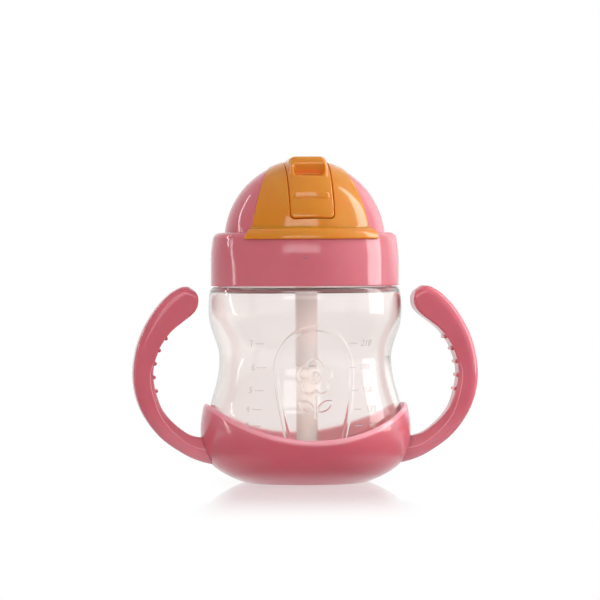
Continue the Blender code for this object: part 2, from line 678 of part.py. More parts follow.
def make_slider(mat):
    """Shutter: a curved plate with a foot on each side, a thumb tab and a ridge, about the dome's centre."""
    half = SLIDER_HALF_WIDTH
    wide = half + SLIDER_FOOT
    section = band(HOOD_RADIUS, half, 6)[::-1]
    section += [(-half, reach(FOOT_RADIUS, half)), (-wide, reach(FOOT_RADIUS, wide))]
    section += band(SLIDER_INNER, wide, 6)
    section += [(wide, reach(FOOT_RADIUS, wide)), (half, reach(FOOT_RADIUS, half))]
    item = over_dome("slider", section, PARTS, SLIDER_START, SLIDER_END)
    base = reach((SLIDER_INNER + HOOD_RADIUS) / 2, TAB_HALF_WIDTH)
    foot = arc((0, 0), HOOD_RADIUS, TAB_START, TAB_START, 1)[0]
    back = arc((0, 0), HOOD_RADIUS, SLIDER_END - 1.0, SLIDER_END - 1.0, 1)[0]
    nose = (foot[0] - TAB_RUN, TAB_TOP)
    climb = nose[1] - foot[1]
    outline = [foot] + bezier(foot, (foot[0] - 0.24 * TAB_RUN, foot[1] + 0.41 * climb), (nose[0] + 0.31 * TAB_RUN, TAB_TOP),
                              nose, 8)
    outline += bezier(nose, (nose[0] * 0.5, TAB_TOP), (back[0] * 0.3, TAB_TOP), back, 6)
    outline += arc((0, 0), base, SLIDER_END - 1.0, TAB_START - 6.0, 10)
    combine(item, crossbar("tab", outline, TAB_HALF_WIDTH, TAB_ROUND), "UNION")
    wall = foot[0] - SCOOP_RUN
    scoop = [(foot[0] + 0.1 * SCOOP_RUN, foot[1] - 0.02 * climb), (wall + 0.27 * SCOOP_RUN, foot[1] + 0.08 * climb),
             (wall + 0.06 * SCOOP_RUN, foot[1] + 0.16 * climb), (wall, foot[1] + 0.3 * climb),
             (wall, TAB_TOP + TAB_RUN / 2), (foot[0] + TAB_RUN / 2, TAB_TOP + TAB_RUN / 2), (foot[0] + TAB_RUN / 2, foot[1])]
    combine(item, crossbar("scoop_cutter", scoop, SCOOP_HALF_WIDTH, 0.0), "DIFFERENCE")
    out = HOOD_RADIUS - RIDGE_RADIUS * 0.6
    angle = math.radians(RIDGE_ANGLE)
    spot = Matrix.Translation((0, -out * math.cos(angle), DOME_Z + out * math.sin(angle)))
    bar = rod("ridge", RIDGE_RADIUS, RIDGE_LENGTH, 12, spot @ Matrix.Rotation(math.pi / 2, 4, "Y"))
    combine(item, bar, "UNION")
    finish(item, mat)


def make_deck(mat):
    """Disc under the dome with a hole for the straw and one for the air valve."""
    profile = [(0.0, DECK_TOP), (FLANGE_RADIUS, DECK_TOP), (FLANGE_RADIUS, DECK_BOTTOM), (0.0, DECK_BOTTOM)]
    item = turned("lid_deck", profile, PARTS)
    for name, front, radius in (("straw_hole", STRAW_OFFSET, SPOUT_RADIUS + FIT),
                                ("valve_hole", -VALVE_OFFSET, VALVE_STEM_RADIUS + FIT)):
        rod = [(0.0, DECK_TOP + DECK_THICKNESS), (radius, DECK_TOP + DECK_THICKNESS),
               (radius, DECK_BOTTOM - DECK_THICKNESS), (0.0, DECK_BOTTOM - DECK_THICKNESS)]
        cutter = turned(name, rod, CUTTERS, front=front)
        cutter.modifiers["turn"].steps = 20
        cutter.modifiers["turn"].render_steps = 20
        combine(item, cutter, "DIFFERENCE")
    finish(item, mat)


def make_gasket(mat):
    """Flat ring on the bottle's rim."""
    top = GASKET_BOTTOM + GASKET_THICKNESS
    inner = NECK_RADIUS - GASKET_WIDTH
    profile = [(inner, top), (NECK_RADIUS, top), (NECK_RADIUS, GASKET_BOTTOM), (inner, GASKET_BOTTOM)]
    finish(turned("neck_gasket", profile, PARTS, closed=True), mat)


def make_valve(mat):
    """Mushroom-shaped air valve, held in the deck by a cap on each side."""
    top = DECK_TOP + FIT
    low = DECK_BOTTOM - FIT
    small = VALVE_CAP_RADIUS * 0.75
    profile = [(0.0, top + VALVE_CAP_THICKNESS), (VALVE_CAP_RADIUS, top + VALVE_CAP_THICKNESS * 0.6),
               (VALVE_CAP_RADIUS, top), (VALVE_STEM_RADIUS, top), (VALVE_STEM_RADIUS, low), (small, low),
               (small, low - VALVE_CAP_THICKNESS), (0.0, low - VALVE_CAP_THICKNESS)]
    item = turned("vent_valve", profile, PARTS, front=-VALVE_OFFSET)
    item.modifiers["turn"].steps = 20
    item.modifiers["turn"].render_steps = 20
    finish(item, mat)


def make_straw(soft, rigid):
    """Stem with its elbow, the curved spout in front of it, and the lower tube plugged into the stem."""
    socket = SPIGOT_RADIUS + FIT
    bead = DECK_TOP + FIT
    elbow = arc((STRAW_OFFSET + ELBOW_RADIUS, ELBOW_Z), ELBOW_RADIUS, 180, 90, 6) + [(SPOUT_FRONT, SPOUT_Z)]
    profile = [(0.0, bead + 2 * BEAD_HEIGHT), (SPOUT_RADIUS * 0.9, bead + 2 * BEAD_HEIGHT),
               (SPOUT_RADIUS * 0.9, bead + BEAD_HEIGHT), (STEM_RADIUS, bead + BEAD_HEIGHT), (STEM_RADIUS, bead),
               (SPOUT_RADIUS, bead), (SPOUT_RADIUS, DECK_BOTTOM - FIT), (STEM_RADIUS, DECK_BOTTOM - FIT),
               (STEM_RADIUS, STEM_BOTTOM), (socket, STEM_BOTTOM), (socket, STEM_BOTTOM + SPIGOT_LENGTH + FIT),
               (0.0, STEM_BOTTOM + SPIGOT_LENGTH + FIT)]
    stem = turned("straw_stem", profile, PARTS, front=STRAW_OFFSET)
    stem.modifiers["turn"].steps = 20
    stem.modifiers["turn"].render_steps = 20
    upper = [(STRAW_OFFSET, bead + BEAD_HEIGHT / 2)] + elbow
    combine(stem, tube("stem_neck", upper, SPOUT_RADIUS, CUTTERS), "UNION")
    beyond = (SPOUT_FRONT + ELBOW_RADIUS, SPOUT_Z)
    bore = [(STRAW_OFFSET, STEM_BOTTOM)] + elbow + [beyond]
    combine(stem, tube("stem_bore", bore, STRAW_BORE, CUTTERS), "DIFFERENCE")
    finish(stem, soft)

    centre = (SPOUT_BEND_FRONT, SPOUT_Z - SPOUT_BEND_RADIUS)
    sweep = [(SPOUT_ROOT, SPOUT_Z)] + arc(centre, SPOUT_BEND_RADIUS, 90, 90 - SPOUT_SWEEP, 9)
    spout = tube("straw_spout", sweep, SPOUT_RADIUS, PARTS)
    end = math.radians(90 - SPOUT_SWEEP)
    past = (sweep[-1][0] + SPOUT_RADIUS * math.sin(end), sweep[-1][1] - SPOUT_RADIUS * math.cos(end))
    before = (sweep[0][0] - SPOUT_RADIUS, sweep[0][1])
    combine(spout, tube("spout_bore", [before] + sweep + [past], STRAW_BORE, CUTTERS), "DIFFERENCE")
    place_origin(spout, (0, -HINGE_FRONT, HINGE_Z))
    finish(spout, soft)

    floor = BASE_WALL + FIT + BOTTLE_WALL + TUBE_FLOOR_GAP
    top = STEM_BOTTOM - FIT
    plug = STEM_BOTTOM + SPIGOT_LENGTH - FIT
    profile = [(STRAW_BORE, plug), (SPIGOT_RADIUS, plug), (SPIGOT_RADIUS, top), (TUBE_RADIUS, top),
               (TUBE_RADIUS, floor), (STRAW_BORE, floor)]
    lower = turned("straw_tube", profile, PARTS, closed=True, front=STRAW_OFFSET)
    lower.modifiers["turn"].steps = 20
    lower.modifiers["turn"].render_steps = 20
    finish(lower, rigid)


def main():
    pink = material("pink_polypropylene", "D27C88", 0.32)
    handle_pink = material("handle_polypropylene", "C96A78", 0.38)
    orange = material("orange_polypropylene", "E08A28", 0.30)
    shutter = material("shutter_polypropylene", "DE8A2C", 0.32)
    clear = material("clear_polypropylene", "F3EEEC", 0.08, 0.9)
    frosted = material("natural_polypropylene", "F0E4DC", 0.35, 0.3)
    silicone = material("pale_silicone", "EAD6D0", 0.45, 0.2)
    make_base(pink)
    make_handle("handle_left", -1, handle_pink)
    make_handle("handle_right", 1, handle_pink)
    make_bottle(clear)
    make_collar(pink)
    make_dome(pink)
    make_hood(orange)
    make_slider(shutter)
    make_deck(frosted)
    make_gasket(silicone)
    make_valve(silicone)
    make_straw(silicone, frosted)


main()
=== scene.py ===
# %% [markdown]
# # A toddler's straw cup
# The imported model gives every piece its place and its joints. This lesson dresses it: most moulded pieces
# are built again as a fine mesh in the same frame, ride on the body that carries them (all but the straw's
# mouthpiece), and get the plastic they are made of.

# %% Load the imported cup
import math

import bmesh
import bpy
import numpy as np
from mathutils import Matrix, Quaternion, Vector


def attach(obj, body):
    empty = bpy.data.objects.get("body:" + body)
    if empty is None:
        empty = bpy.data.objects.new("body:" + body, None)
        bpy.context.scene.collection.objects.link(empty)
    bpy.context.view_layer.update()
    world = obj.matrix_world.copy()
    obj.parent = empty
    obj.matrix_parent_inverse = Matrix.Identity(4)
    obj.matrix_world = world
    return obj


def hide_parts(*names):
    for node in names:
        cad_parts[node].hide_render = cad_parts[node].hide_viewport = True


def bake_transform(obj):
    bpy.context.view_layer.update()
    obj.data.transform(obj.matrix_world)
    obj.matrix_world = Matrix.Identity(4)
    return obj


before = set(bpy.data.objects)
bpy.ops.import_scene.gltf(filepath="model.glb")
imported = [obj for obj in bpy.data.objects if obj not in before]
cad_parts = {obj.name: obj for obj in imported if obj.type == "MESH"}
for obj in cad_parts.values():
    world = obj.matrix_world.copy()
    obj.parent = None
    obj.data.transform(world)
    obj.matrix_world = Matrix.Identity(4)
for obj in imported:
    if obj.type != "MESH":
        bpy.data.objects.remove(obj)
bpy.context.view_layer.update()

MM = 0.001

# %% [markdown]
# ## Camera
# The picture was taken with a long lens from nearly level, a little to the cup's left. One pixel is about
# 0.4 mm at the cup's axis, so the lens follows from the distance. Azimuth 0 looks at the front; the camera
# stands 6 degrees from it and is turned a third of a degree about its line of sight, as the picture shows the
# cup leaning that much.

# %% Camera
AZIMUTH = math.radians(-6.0)
DISTANCE = 1.55
EYE_HEIGHT = 0.088
PICTURE_PIXELS, PIXEL_MM, SENSOR_MM = 600, 0.404, 36
AIM_RIGHT, AIM_UP = -0.0020, 0.0735
ROLL = math.radians(-0.3)

right = Vector((math.cos(AZIMUTH), math.sin(AZIMUTH), 0))
forward = Vector((-math.sin(AZIMUTH), math.cos(AZIMUTH), 0))
target = right * AIM_RIGHT + Vector((0, 0, AIM_UP))
eye = right * AIM_RIGHT - forward * DISTANCE + Vector((0, 0, EYE_HEIGHT))
lens = bpy.data.cameras.new("portrait_lens")
lens.sensor_width = SENSOR_MM
lens.lens = SENSOR_MM * DISTANCE / (PICTURE_PIXELS * PIXEL_MM * MM)
lens.clip_end = 50
camera = bpy.data.objects.new("camera", lens)
camera.location = eye
camera.rotation_euler = ((target - eye).to_track_quat("-Z", "Y") @ Quaternion((0, 0, 1), ROLL)).to_euler()
bpy.context.scene.collection.objects.link(camera)
bpy.context.scene.camera = camera
print(f"camera {DISTANCE} m away, {lens.lens:.0f} mm lens")

# %% [markdown]
# ## Plastics
# Every piece is moulded, so its skin copies a polished steel mould: glossy, with a slight waviness a few
# millimetres long where the plastic shrank, and a faint drift of colour where pigment flowed. Noise in object
# space gives both, with its scale worked out from those lengths. A mesh can also carry a value per point that
# mixes in a second colour as painted light: paler for the pink where its lip, crease, root and inside are
# painted as if lit through the wall or from below, and redder for the orange deep in its slot as a painted
# glow.
# One helper adds a node with its settings and links.

# %% Colour and node helpers
DRIFT_MM, BUMP_STRENGTH = 14, 0.35


def linear(code):
    """An sRGB hex colour as linear RGBA."""
    values = [int(code[k:k + 2], 16) / 255 for k in (0, 2, 4)]
    return tuple(v / 12.92 if v <= 0.04045 else ((v + 0.055) / 1.055) ** 2.4 for v in values) + (1.0,)


def add_node(tree, kind, settings=()):
    """Add a node with its settings; a setting that is another node's output is linked."""
    node = tree.nodes.new(kind)
    for key, value in dict(settings).items():
        if isinstance(value, bpy.types.NodeSocket):
            tree.links.new(value, node.inputs[key])
        elif isinstance(key, int) or key in node.inputs:
            node.inputs[key].default_value = value
        else:
            setattr(node, key, value)
    return node


def plastic(name, light, dark, settings, gloss=(0.07, 0.12), wave_mm=3.5, wave_depth_mm=0.0015, painted_light=None):
    """A moulded plastic: colour drifts between two shades, gloss varies and the skin is faintly wavy."""
    made = bpy.data.materials.new(name)
    made.use_nodes = True
    tree = made.node_tree
    shader = tree.nodes["Principled BSDF"]
    for key, value in settings.items():
        shader.inputs[key].default_value = value
    place = add_node(tree, "ShaderNodeTexCoord").outputs["Object"]
    drift = add_node(tree, "ShaderNodeTexNoise", {
        "Scale": 1 / (DRIFT_MM * MM), "Detail": 3.0, "Roughness": 0.55, "Vector": place}).outputs["Fac"]
    wave = add_node(tree, "ShaderNodeTexNoise", {
        "Scale": 1 / (wave_mm * MM), "Detail": 2.0, "Vector": place}).outputs["Fac"]
    rough = add_node(tree, "ShaderNodeMapRange", {"To Min": gloss[0], "To Max": gloss[1], "Value": drift})
    bump = add_node(tree, "ShaderNodeBump", {
        "Strength": BUMP_STRENGTH, "Distance": wave_depth_mm * MM, "Height": wave})
    colour = add_node(tree, "ShaderNodeMix", {
        "data_type": "RGBA", 0: drift, 6: linear(light), 7: linear(dark)}).outputs[2]
    # The second colour is painted light: a paler or redder shade mixed in by a share stored on the mesh.
    if painted_light:
        edge = add_node(tree, "ShaderNodeAttribute", {"attribute_name": "painted_light_share"}).outputs["Fac"]
        colour = add_node(tree, "ShaderNodeMix", {
            "data_type": "RGBA", 0: edge, 6: colour, 7: linear(painted_light)}).outputs[2]
    tree.links.new(colour, shader.inputs["Base Color"])
    tree.links.new(rough.outputs["Result"], shader.inputs["Roughness"])
    tree.links.new(bump.outputs["Normal"], shader.inputs["Normal"])
    print(f"{name}: shades {light} and {dark}")
    return made


# %% The finishes
# Pigmented polypropylene from a polished mould: glossy, and light goes about a millimetre into it.
PIGMENTED = {"IOR": 1.49, "Subsurface Weight": 0.8, "Subsurface Scale": 0.0016}
lid_pink = plastic("polypropylene_pink_lid", "d87582", "d36f7c", PIGMENTED, wave_depth_mm=0.0006)
# The boot's wall and the handles are thin enough for the backdrop's light to come through, red first.
THIN_WALLED = {**PIGMENTED, "Subsurface Scale": 0.0024}
# Their second colours are painted light: a paler pink for the lip, inside, crease and root.
boot_pink = plastic("polypropylene_pink_boot", "d26775", "cc6170", THIN_WALLED, painted_light="f0a6b1")
grip_pink = plastic("polypropylene_pink_grip", "d76e7d", "d16876", THIN_WALLED, (0.1, 0.16), painted_light="eda2ad")
# Light that has come through the orange is redder, which shows deep in the slot and under the tab.
# Deep in the slot and under the tab the orange is painted redder: a painted glow for light that has come
# through the orange.
ORANGE = {**PIGMENTED, "Subsurface Scale": 0.0026}
hood_orange = plastic("polypropylene_orange_hood", "dd8e22", "d9881d", ORANGE, painted_light="ff5c14")
shutter_orange = plastic("polypropylene_orange_shutter", "dd8f22", "d8881c", ORANGE, (0.07, 0.11),
                         painted_light="ff5c14")
# Clear polypropylene: blown in a polished mould, with the faintest warm haze.
CLEAR = {"IOR": 1.49, "Transmission Weight": 1.0}
bottle_clear = plastic("polypropylene_clear", "fdfafa", "fbf7f6", CLEAR, (0.07, 0.11), 9, 0.006)
# Where light runs a long way inside the wall, at the bottle's edges, it comes out warmer.
tree = bottle_clear.node_tree
haze = add_node(tree, "ShaderNodeVolumeAbsorption", {"Color": linear("b58638"), "Density": 36.0})
tree.links.new(haze.outputs[0], tree.nodes["Material Output"].inputs["Volume"])
# The raised marks on the bottle are the same plastic with a frosted skin.
mark_clear = plastic("polypropylene_clear_frosted", "f7f0ef", "f3ebe9", CLEAR, (0.25, 0.32))
# Milky plastics: light spreads inside them, red furthest.
MILKY = {"Subsurface Weight": 0.8, "Subsurface Scale": 0.003, "Subsurface Radius": (1.0, 0.8, 0.75)}
# Silicone rubber: a soft satin skin.
silicone = plastic("silicone_blush", "f4e4e1", "efdeda", {"IOR": 1.41, **MILKY}, (0.36, 0.46))
# Natural polypropylene: unpigmented, a little glossier.
natural = plastic("polypropylene_natural", "f8ebe4", "f4e5dd", {"IOR": 1.49, **MILKY}, (0.28, 0.38))

# %% [markdown]
# ## Meshes from rows of points
# A moulded shell is easiest to control as rows of points: each row is a ring or a strip, and neighbouring
# rows are joined by quads. Points are written in millimetres. Rows that end on the axis merge into one
# point, and weighted normals keep the broad faces evenly shaded beside narrow rounded edges.

# %% Mesh helpers
def quads(rows, wrap=True):
    """Points and quad faces of rows of equal length; wrap joins each row's ends."""
    rows = np.asarray(rows, float)
    count, length = rows.shape[:2]
    index = np.arange(count * length).reshape(count, length)
    here = index if wrap else index[:, :-1]
    there = np.roll(index, -1, 1) if wrap else index[:, 1:]
    faces = np.stack([here[:-1], there[:-1], there[1:], here[1:]], -1).reshape(-1, 4)
    return rows.reshape(-1, 3), faces


def piece(name, patches, finish, body=None, stands_for=()):
    """One smooth object from patches of points and faces; shared points merge and faces turn outwards."""
    points = np.vstack([p for p, _ in patches]) * MM
    shift = np.cumsum([0] + [len(p) for p, _ in patches])
    faces = np.vstack([f + s for (_, f), s in zip(patches, shift)])
    mesh = bpy.data.meshes.new(name)
    mesh.from_pydata(points.tolist(), [], faces.tolist())
    shape = bmesh.new()
    shape.from_mesh(mesh)
    bmesh.ops.remove_doubles(shape, verts=shape.verts, dist=0.002 * MM)
    bmesh.ops.recalc_face_normals(shape, faces=shape.faces)
    shape.to_mesh(mesh)
    shape.free()
    mesh.shade_smooth()
    mesh.materials.append(finish)
    item = bpy.data.objects.new(name, mesh)
    bpy.context.scene.collection.objects.link(item)
    if body:
        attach(item, body)
    if stands_for:
        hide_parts(*stands_for)
    print(f"{name}: {len(mesh.polygons)} faces")
    return item


def even_shading(item):
    """Weighted normals, so that broad faces stay even beside narrow ones."""
    item.modifiers.new("even_shading", "WEIGHTED_NORMAL").weight = 80
    return item


def settle(item):
    """Apply the modifiers, so that the shaped mesh is the piece."""
    bpy.context.view_layer.update()
    shaped = bpy.data.meshes.new_from_object(item.evaluated_get(bpy.context.evaluated_depsgraph_get()))
    item.modifiers.clear()
    item.data = shaped


def points_of(item):
    """A piece's points in millimetres."""
    return np.array([v.co for v in item.data.vertices]) / MM


def paint_light(item, values):
    """Store how much painted light, the second colour that stands in for light, each point of a piece shows.
    """
    item.data.attributes.new("painted_light_share", "FLOAT", "POINT").data.foreach_set("value", values)


def around(reach, turn, z):
    """Points at a distance from the vertical axis, an angle about it and a height."""
    return np.stack(np.broadcast_arrays(reach * np.cos(turn), reach * np.sin(turn), z), -1)


def lathe(profile, columns, front=0.0):
    """Rows of a profile of (radius, height) points turned about a vertical axis."""
    turn = np.linspace(0, 2 * math.pi, columns, endpoint=False)
    return [around(r, turn, z) - (0, front, 0) for r, z in profile]


def cubic(a, b, c, d, steps):
    """Points along a cubic curve, without its first point."""
    t = np.linspace(0, 1, steps + 1)[1:, None]
    a, b, c, d = (np.array(p, float) for p in (a, b, c, d))
    return (1 - t) ** 3 * a + 3 * t * (1 - t) ** 2 * b + 3 * t * t * (1 - t) * c + t ** 3 * d


def arc(centre, radius, start, end, steps):
    """Points on a circle, angles in degrees."""
    a = np.radians(np.linspace(start, end, steps + 1))
    return np.stack([centre[0] + radius * np.cos(a), centre[1] + radius * np.sin(a)], -1)


def follow(path, steps):
    """A smooth curve through points."""
    path = np.array(path, float)
    ends = np.vstack([2 * path[0] - path[1], path, 2 * path[-1] - path[-2]])
    t = np.linspace(0, 1, steps, endpoint=False)[:, None]
    rows = []
    for p, q, r, s in zip(ends, ends[1:], ends[2:], ends[3:]):
        rows.append(q + 0.5 * t * (r - p + t * (2 * p - 5 * q + 4 * r - s + t * (3 * (q - r) + s - p))))
    return np.vstack(rows + [path[-1:]])


def lengths(path):
    """Distance walked along a path to each of its points."""
    return np.concatenate([[0], np.cumsum(np.linalg.norm(np.diff(path, axis=0), axis=1))])


def at(path, walked):
    """Points on a path at given distances."""
    s = lengths(path)
    return np.stack([np.interp(walked, s, path[:, k]) for k in range(path.shape[1])], -1)


def unit(vectors):
    """The same directions with a length of 1."""
    return vectors / np.linalg.norm(vectors, axis=-1, keepdims=True)


def heading(path, walked, step):
    """Directions of a path at given distances, taken over a step to each side."""
    return unit(at(path, walked + step) - at(path, walked - step))


def right_of(ahead):
    """Flat directions turned a quarter to the right."""
    return np.stack([ahead[:, 1], -ahead[:, 0]], -1)


def smoothstep(low, high, x):
    """0 below low, 1 above high, eased between."""
    t = np.clip((x - low) / (high - low), 0, 1)
    return t * t * (3 - 2 * t)


def rounded(distance, radius):
    """How far a rounded edge falls back at a distance inside it."""
    gap = np.clip(radius - distance, 0, radius)
    return radius - np.sqrt(radius ** 2 - gap ** 2)


# %% [markdown]
# ## Boot
# The boot is a turned bowl whose rim is a saddle: high at the two handles, low at the front and back. Each
# column of the mesh climbs the bowl's outer line up to the saddle's height there, rolls over a rounded lip
# and goes down inside. The lip, the inside and the high sides are painted paler: painted light that stands
# in for light coming through the wall.

# %% Boot
REST, BELLY, BELLY_Z, RIM, RIM_HIGH, RIM_LOW, BOOT_WALL = 25.0, 42.5, 20.5, 41.0, 32.2, 18.3, 1.3
RIM_DROP = RIM_HIGH - RIM_LOW
SADDLE = (RIM ** 2 + RIM_DROP ** 2) / (2 * RIM_DROP)
LIP_OUT, LIP_RISE, LIP_IN = 1.0, 2.0, 0.3
# Shares of the way to the belly, and then of the climb to the rim, that bend the two curves of the side.
HEEL_OUT, HEEL_UP, BELLY_UP, CLIMB_START, CLIMB_END = 0.65, 0.215, 0.415, 0.4, 0.3
BOOT_COLUMNS, BOOT_STOPS, FLAT_SHARE = 144, 44, 0.6
LIP_GLOW, SIDE_GLOW, SIDE_GLOW_Z, FLOOR_Z = (1.4, 2.3), 0.4, (15, 31), 2.0

climb = RIM_HIGH - BELLY_Z
boot_line = np.vstack([
    [(REST, 0)],
    cubic((REST, 0), (REST + HEEL_OUT * (BELLY - REST), HEEL_UP * BELLY_Z), (BELLY, BELLY_UP * BELLY_Z),
          (BELLY, BELLY_Z), 40),
    cubic((BELLY, BELLY_Z), (BELLY, BELLY_Z + CLIMB_START * climb), (RIM + 0.7, RIM_HIGH - CLIMB_END * climb),
          (RIM, RIM_HIGH), 24),
    [(RIM - 0.3, RIM_HIGH + 1.5)],
])


def boot_radius(z):
    """The boot's outer radius at a height."""
    return np.interp(z, boot_line[:, 1], boot_line[:, 0])


def rim_height(x):
    """The saddle's height at a distance across."""
    return RIM_LOW + SADDLE - np.sqrt(SADDLE ** 2 - x ** 2)


def boot_column(angle):
    """A column of (radius, height) points: from under the middle, up, over the lip and down to the floor."""
    rise = boot_line[:, 1] - rim_height(boot_line[:, 0] * math.cos(angle))
    top = np.interp(0, rise, lengths(boot_line)) - LIP_RISE
    stops = np.linspace(0, top, BOOT_STOPS)
    outer = at(boot_line, stops)
    ahead = heading(boot_line, stops, 0.05)
    ahead[0] = ahead[1]
    out = right_of(ahead)
    turn = np.linspace(0, math.pi / 2, 9)[1:, None]
    crest = outer[-1] - LIP_OUT * out[-1]
    over = crest + LIP_OUT * np.cos(turn) * out[-1] + LIP_RISE * np.sin(turn) * ahead[-1]
    back = crest - LIP_IN * np.sin(turn) * out[-1] + (LIP_RISE - LIP_IN + LIP_IN * np.cos(turn)) * ahead[-1]
    inner = (outer - BOOT_WALL * out)[::-2]
    flat = REST * FLAT_SHARE
    return np.vstack([[(0, 0), (flat, 0)], outer, over, back, inner, [(flat, BOOT_WALL), (0, BOOT_WALL)]])


columns = []
for angle in np.linspace(0, 2 * math.pi, BOOT_COLUMNS, endpoint=False):
    line = boot_column(angle)
    columns.append(around(line[:, 0], angle, line[:, 1]))
boot = even_shading(piece("boot_shell", [quads(np.swapaxes(columns, 0, 1))], boot_pink, "base", ["base_cup"]))
spots = points_of(boot)
inside = np.hypot(spots[:, 0], spots[:, 1]) < boot_radius(spots[:, 2]) - 0.7 * BOOT_WALL
# Painted light: the lip, the inside and the upper outside get the paler pink, as if lit through the wall.
glow = 1 - smoothstep(*LIP_GLOW, rim_height(spots[:, 0]) - spots[:, 2])
glow = np.maximum(glow, np.where(inside, 1.0, SIDE_GLOW * smoothstep(*SIDE_GLOW_Z, spots[:, 2])))
paint_light(boot, np.where(spots[:, 2] > FLOOR_Z, glow, 0.0))

# %% [markdown]
# ## Handles
# Each handle is a flat C with rounded edges, fixed to the boot at its lower end. A loft walks from root to
# tip: at each stop the section is a bar whose outer edge is well rounded and whose inner edge is bevelled,
# wider towards the root. The bevel's crease is painted as a paler line, a painted highlight, and the root is
# painted paler, as painted light from below. Five small ribs inside give fingers a hold.

# %% Handles
HALF_DEPTH, OUTER_ROUND, INNER_ROUND = 7.0, 4.2, 1.0
OUTER = [(36.6, 7.3), (43.1, 8.9), (50.0, 12.1), (59.3, 18.9), (66.5, 28.9), (69.7, 40.0), (69.2, 51.0),
         (66.3, 60.6), (61.2, 69.5), (55.6, 75.7), (50.6, 78.8), (47.4, 79.2)]
INNER = [(36.6, 17.5), (41.5, 18.2), (48.2, 20.2), (55.8, 26.7), (59.7, 33.5), (61.8, 44.0), (59.6, 53.7),
         (55.1, 60.6), (50.2, 64.8), (46.6, 67.6), (44.2, 70.5), (43.6, 74.2), (44.5, 77.2)]
STOPS, ROOT_DEPTH, TIP_SHARE, TIP_DEPTH = 96, 0.6, 0.045, 0.35
BEVEL_Z, BEVEL_WIDTH = (18.0, 22.0, 28.0, 36.0, 46.0, 52.0), (5.2, 4.5, 3.4, 2.3, 1.8, 0.0)
BEVEL_SLOPE, CREASED_FROM, CREASE_HALF = 0.75, 1.0, 0.3
RIBS, RIB_TOP_Z, RIB_PITCH, RIB_RADIUS, RIB_RISE, RIB_HALF, RIB_ROUND = 5, 58.5, 5.6, 0.8, 0.2, 4.6, 0.5
GRIP_TOP_Z = 70.0
CREASE_GLOW, ROOT_GLOW, ROOT_GLOW_Z = (0.08, 0.34), 0.4, (12, 34)


def outside_boot(path):
    """The part of a handle's line that lies outside the boot."""
    return path[path[:, 0] > boot_radius(path[:, 1]) + 0.15]


def handle_sections():
    """Rings of (reach, depth, height) points from root to tip, the inner line and the bevel's crease."""
    share = np.linspace(0, 1, STOPS)
    outer, inner = (outside_boot(follow(line, 12)) for line in (OUTER, INNER))
    outer, inner = (at(line, share * lengths(line)[-1]) for line in (outer, inner))
    rings, crease = [], []
    bend = np.radians(np.linspace(0, 90, 9))
    for p, q, s in zip(outer, inner, share):
        width = np.linalg.norm(q - p)
        bevel = np.interp(q[1], BEVEL_Z, BEVEL_WIDTH)
        fold = max(bevel, INNER_ROUND + 0.4)
        squeeze = min(1.0, width / (OUTER_ROUND + fold + 1.0))
        near, far, fold = squeeze * OUTER_ROUND, width - squeeze * INNER_ROUND, width - squeeze * fold
        soft = squeeze * CREASE_HALF
        from_outer = np.concatenate([
            near * (1 - np.cos(bend)), np.linspace(near, fold - soft, 5)[1:-1],
            fold + soft * np.array((-1, -1 / 3, 0, 1 / 3, 1)), np.linspace(fold + soft, far, 4)[1:-1],
            far + (width - far) * np.sin(bend[::2])])
        from_inner = width - from_outer
        half = HALF_DEPTH - 0.8 * rounded(from_outer, near) - rounded(from_inner, width - far)
        half -= BEVEL_SLOPE * np.maximum(squeeze * bevel - from_inner, 0)
        if bevel > CREASED_FROM:
            crease.append(q + bevel / width * (p - q))
        end = math.sqrt(max(0.0, 1 - max(0.0, (s - 1 + TIP_SHARE) / TIP_SHARE) ** 2))
        half = half * (TIP_DEPTH + (1 - TIP_DEPTH) * end)
        line = p + (from_outer / width)[:, None] * (q - p)
        front = np.stack([line[:, 0], -half, line[:, 1]], -1)
        back = np.stack([line[:, 0], half, line[:, 1]], -1)[::-1]
        sides = []
        for spot, deep in ((line[-1], half[-1]), (line[0], -half[0])):
            sides.append([(spot[0], d, spot[1]) for d in np.linspace(-deep, deep, 6)[1:-1]])
        rings.append(np.vstack([front, sides[0], back, sides[1]]))
    root = rings[0].copy()
    reach = boot_radius(root[:, 2]) - ROOT_DEPTH
    root[:, 0] = np.sqrt(reach ** 2 - root[:, 1] ** 2)
    root_end, tip_end = (np.tile(ring.mean(0), (len(ring), 1)) for ring in (root, rings[-1]))
    return np.array([root_end, root, *rings, tip_end]), inner, np.array(crease)


def rib_spots(line):
    """Evenly spaced points down the grip's inner line, each with its direction."""
    line = line[::-1]
    walked = lengths(line)
    low = int(np.argmax(line[:, 1] < GRIP_TOP_Z))
    spots = np.interp(-RIB_TOP_Z, -line[low:, 1], walked[low:]) + RIB_PITCH * np.arange(RIBS)
    return at(line, spots), heading(line, spots, 0.2)


def capsule(centre, half, radius):
    """A bar along the depth with rounded ends."""
    profile = np.vstack([[(0, -half)], arc((radius - RIB_ROUND, RIB_ROUND - half), RIB_ROUND, -90, 0, 4),
                         arc((radius - RIB_ROUND, half - RIB_ROUND), RIB_ROUND, 0, 90, 4), [(0, half)]])
    rows = np.array(lathe(profile, 20))
    return np.stack([rows[..., 0] + centre[0], rows[..., 2], rows[..., 1] + centre[1]], -1)


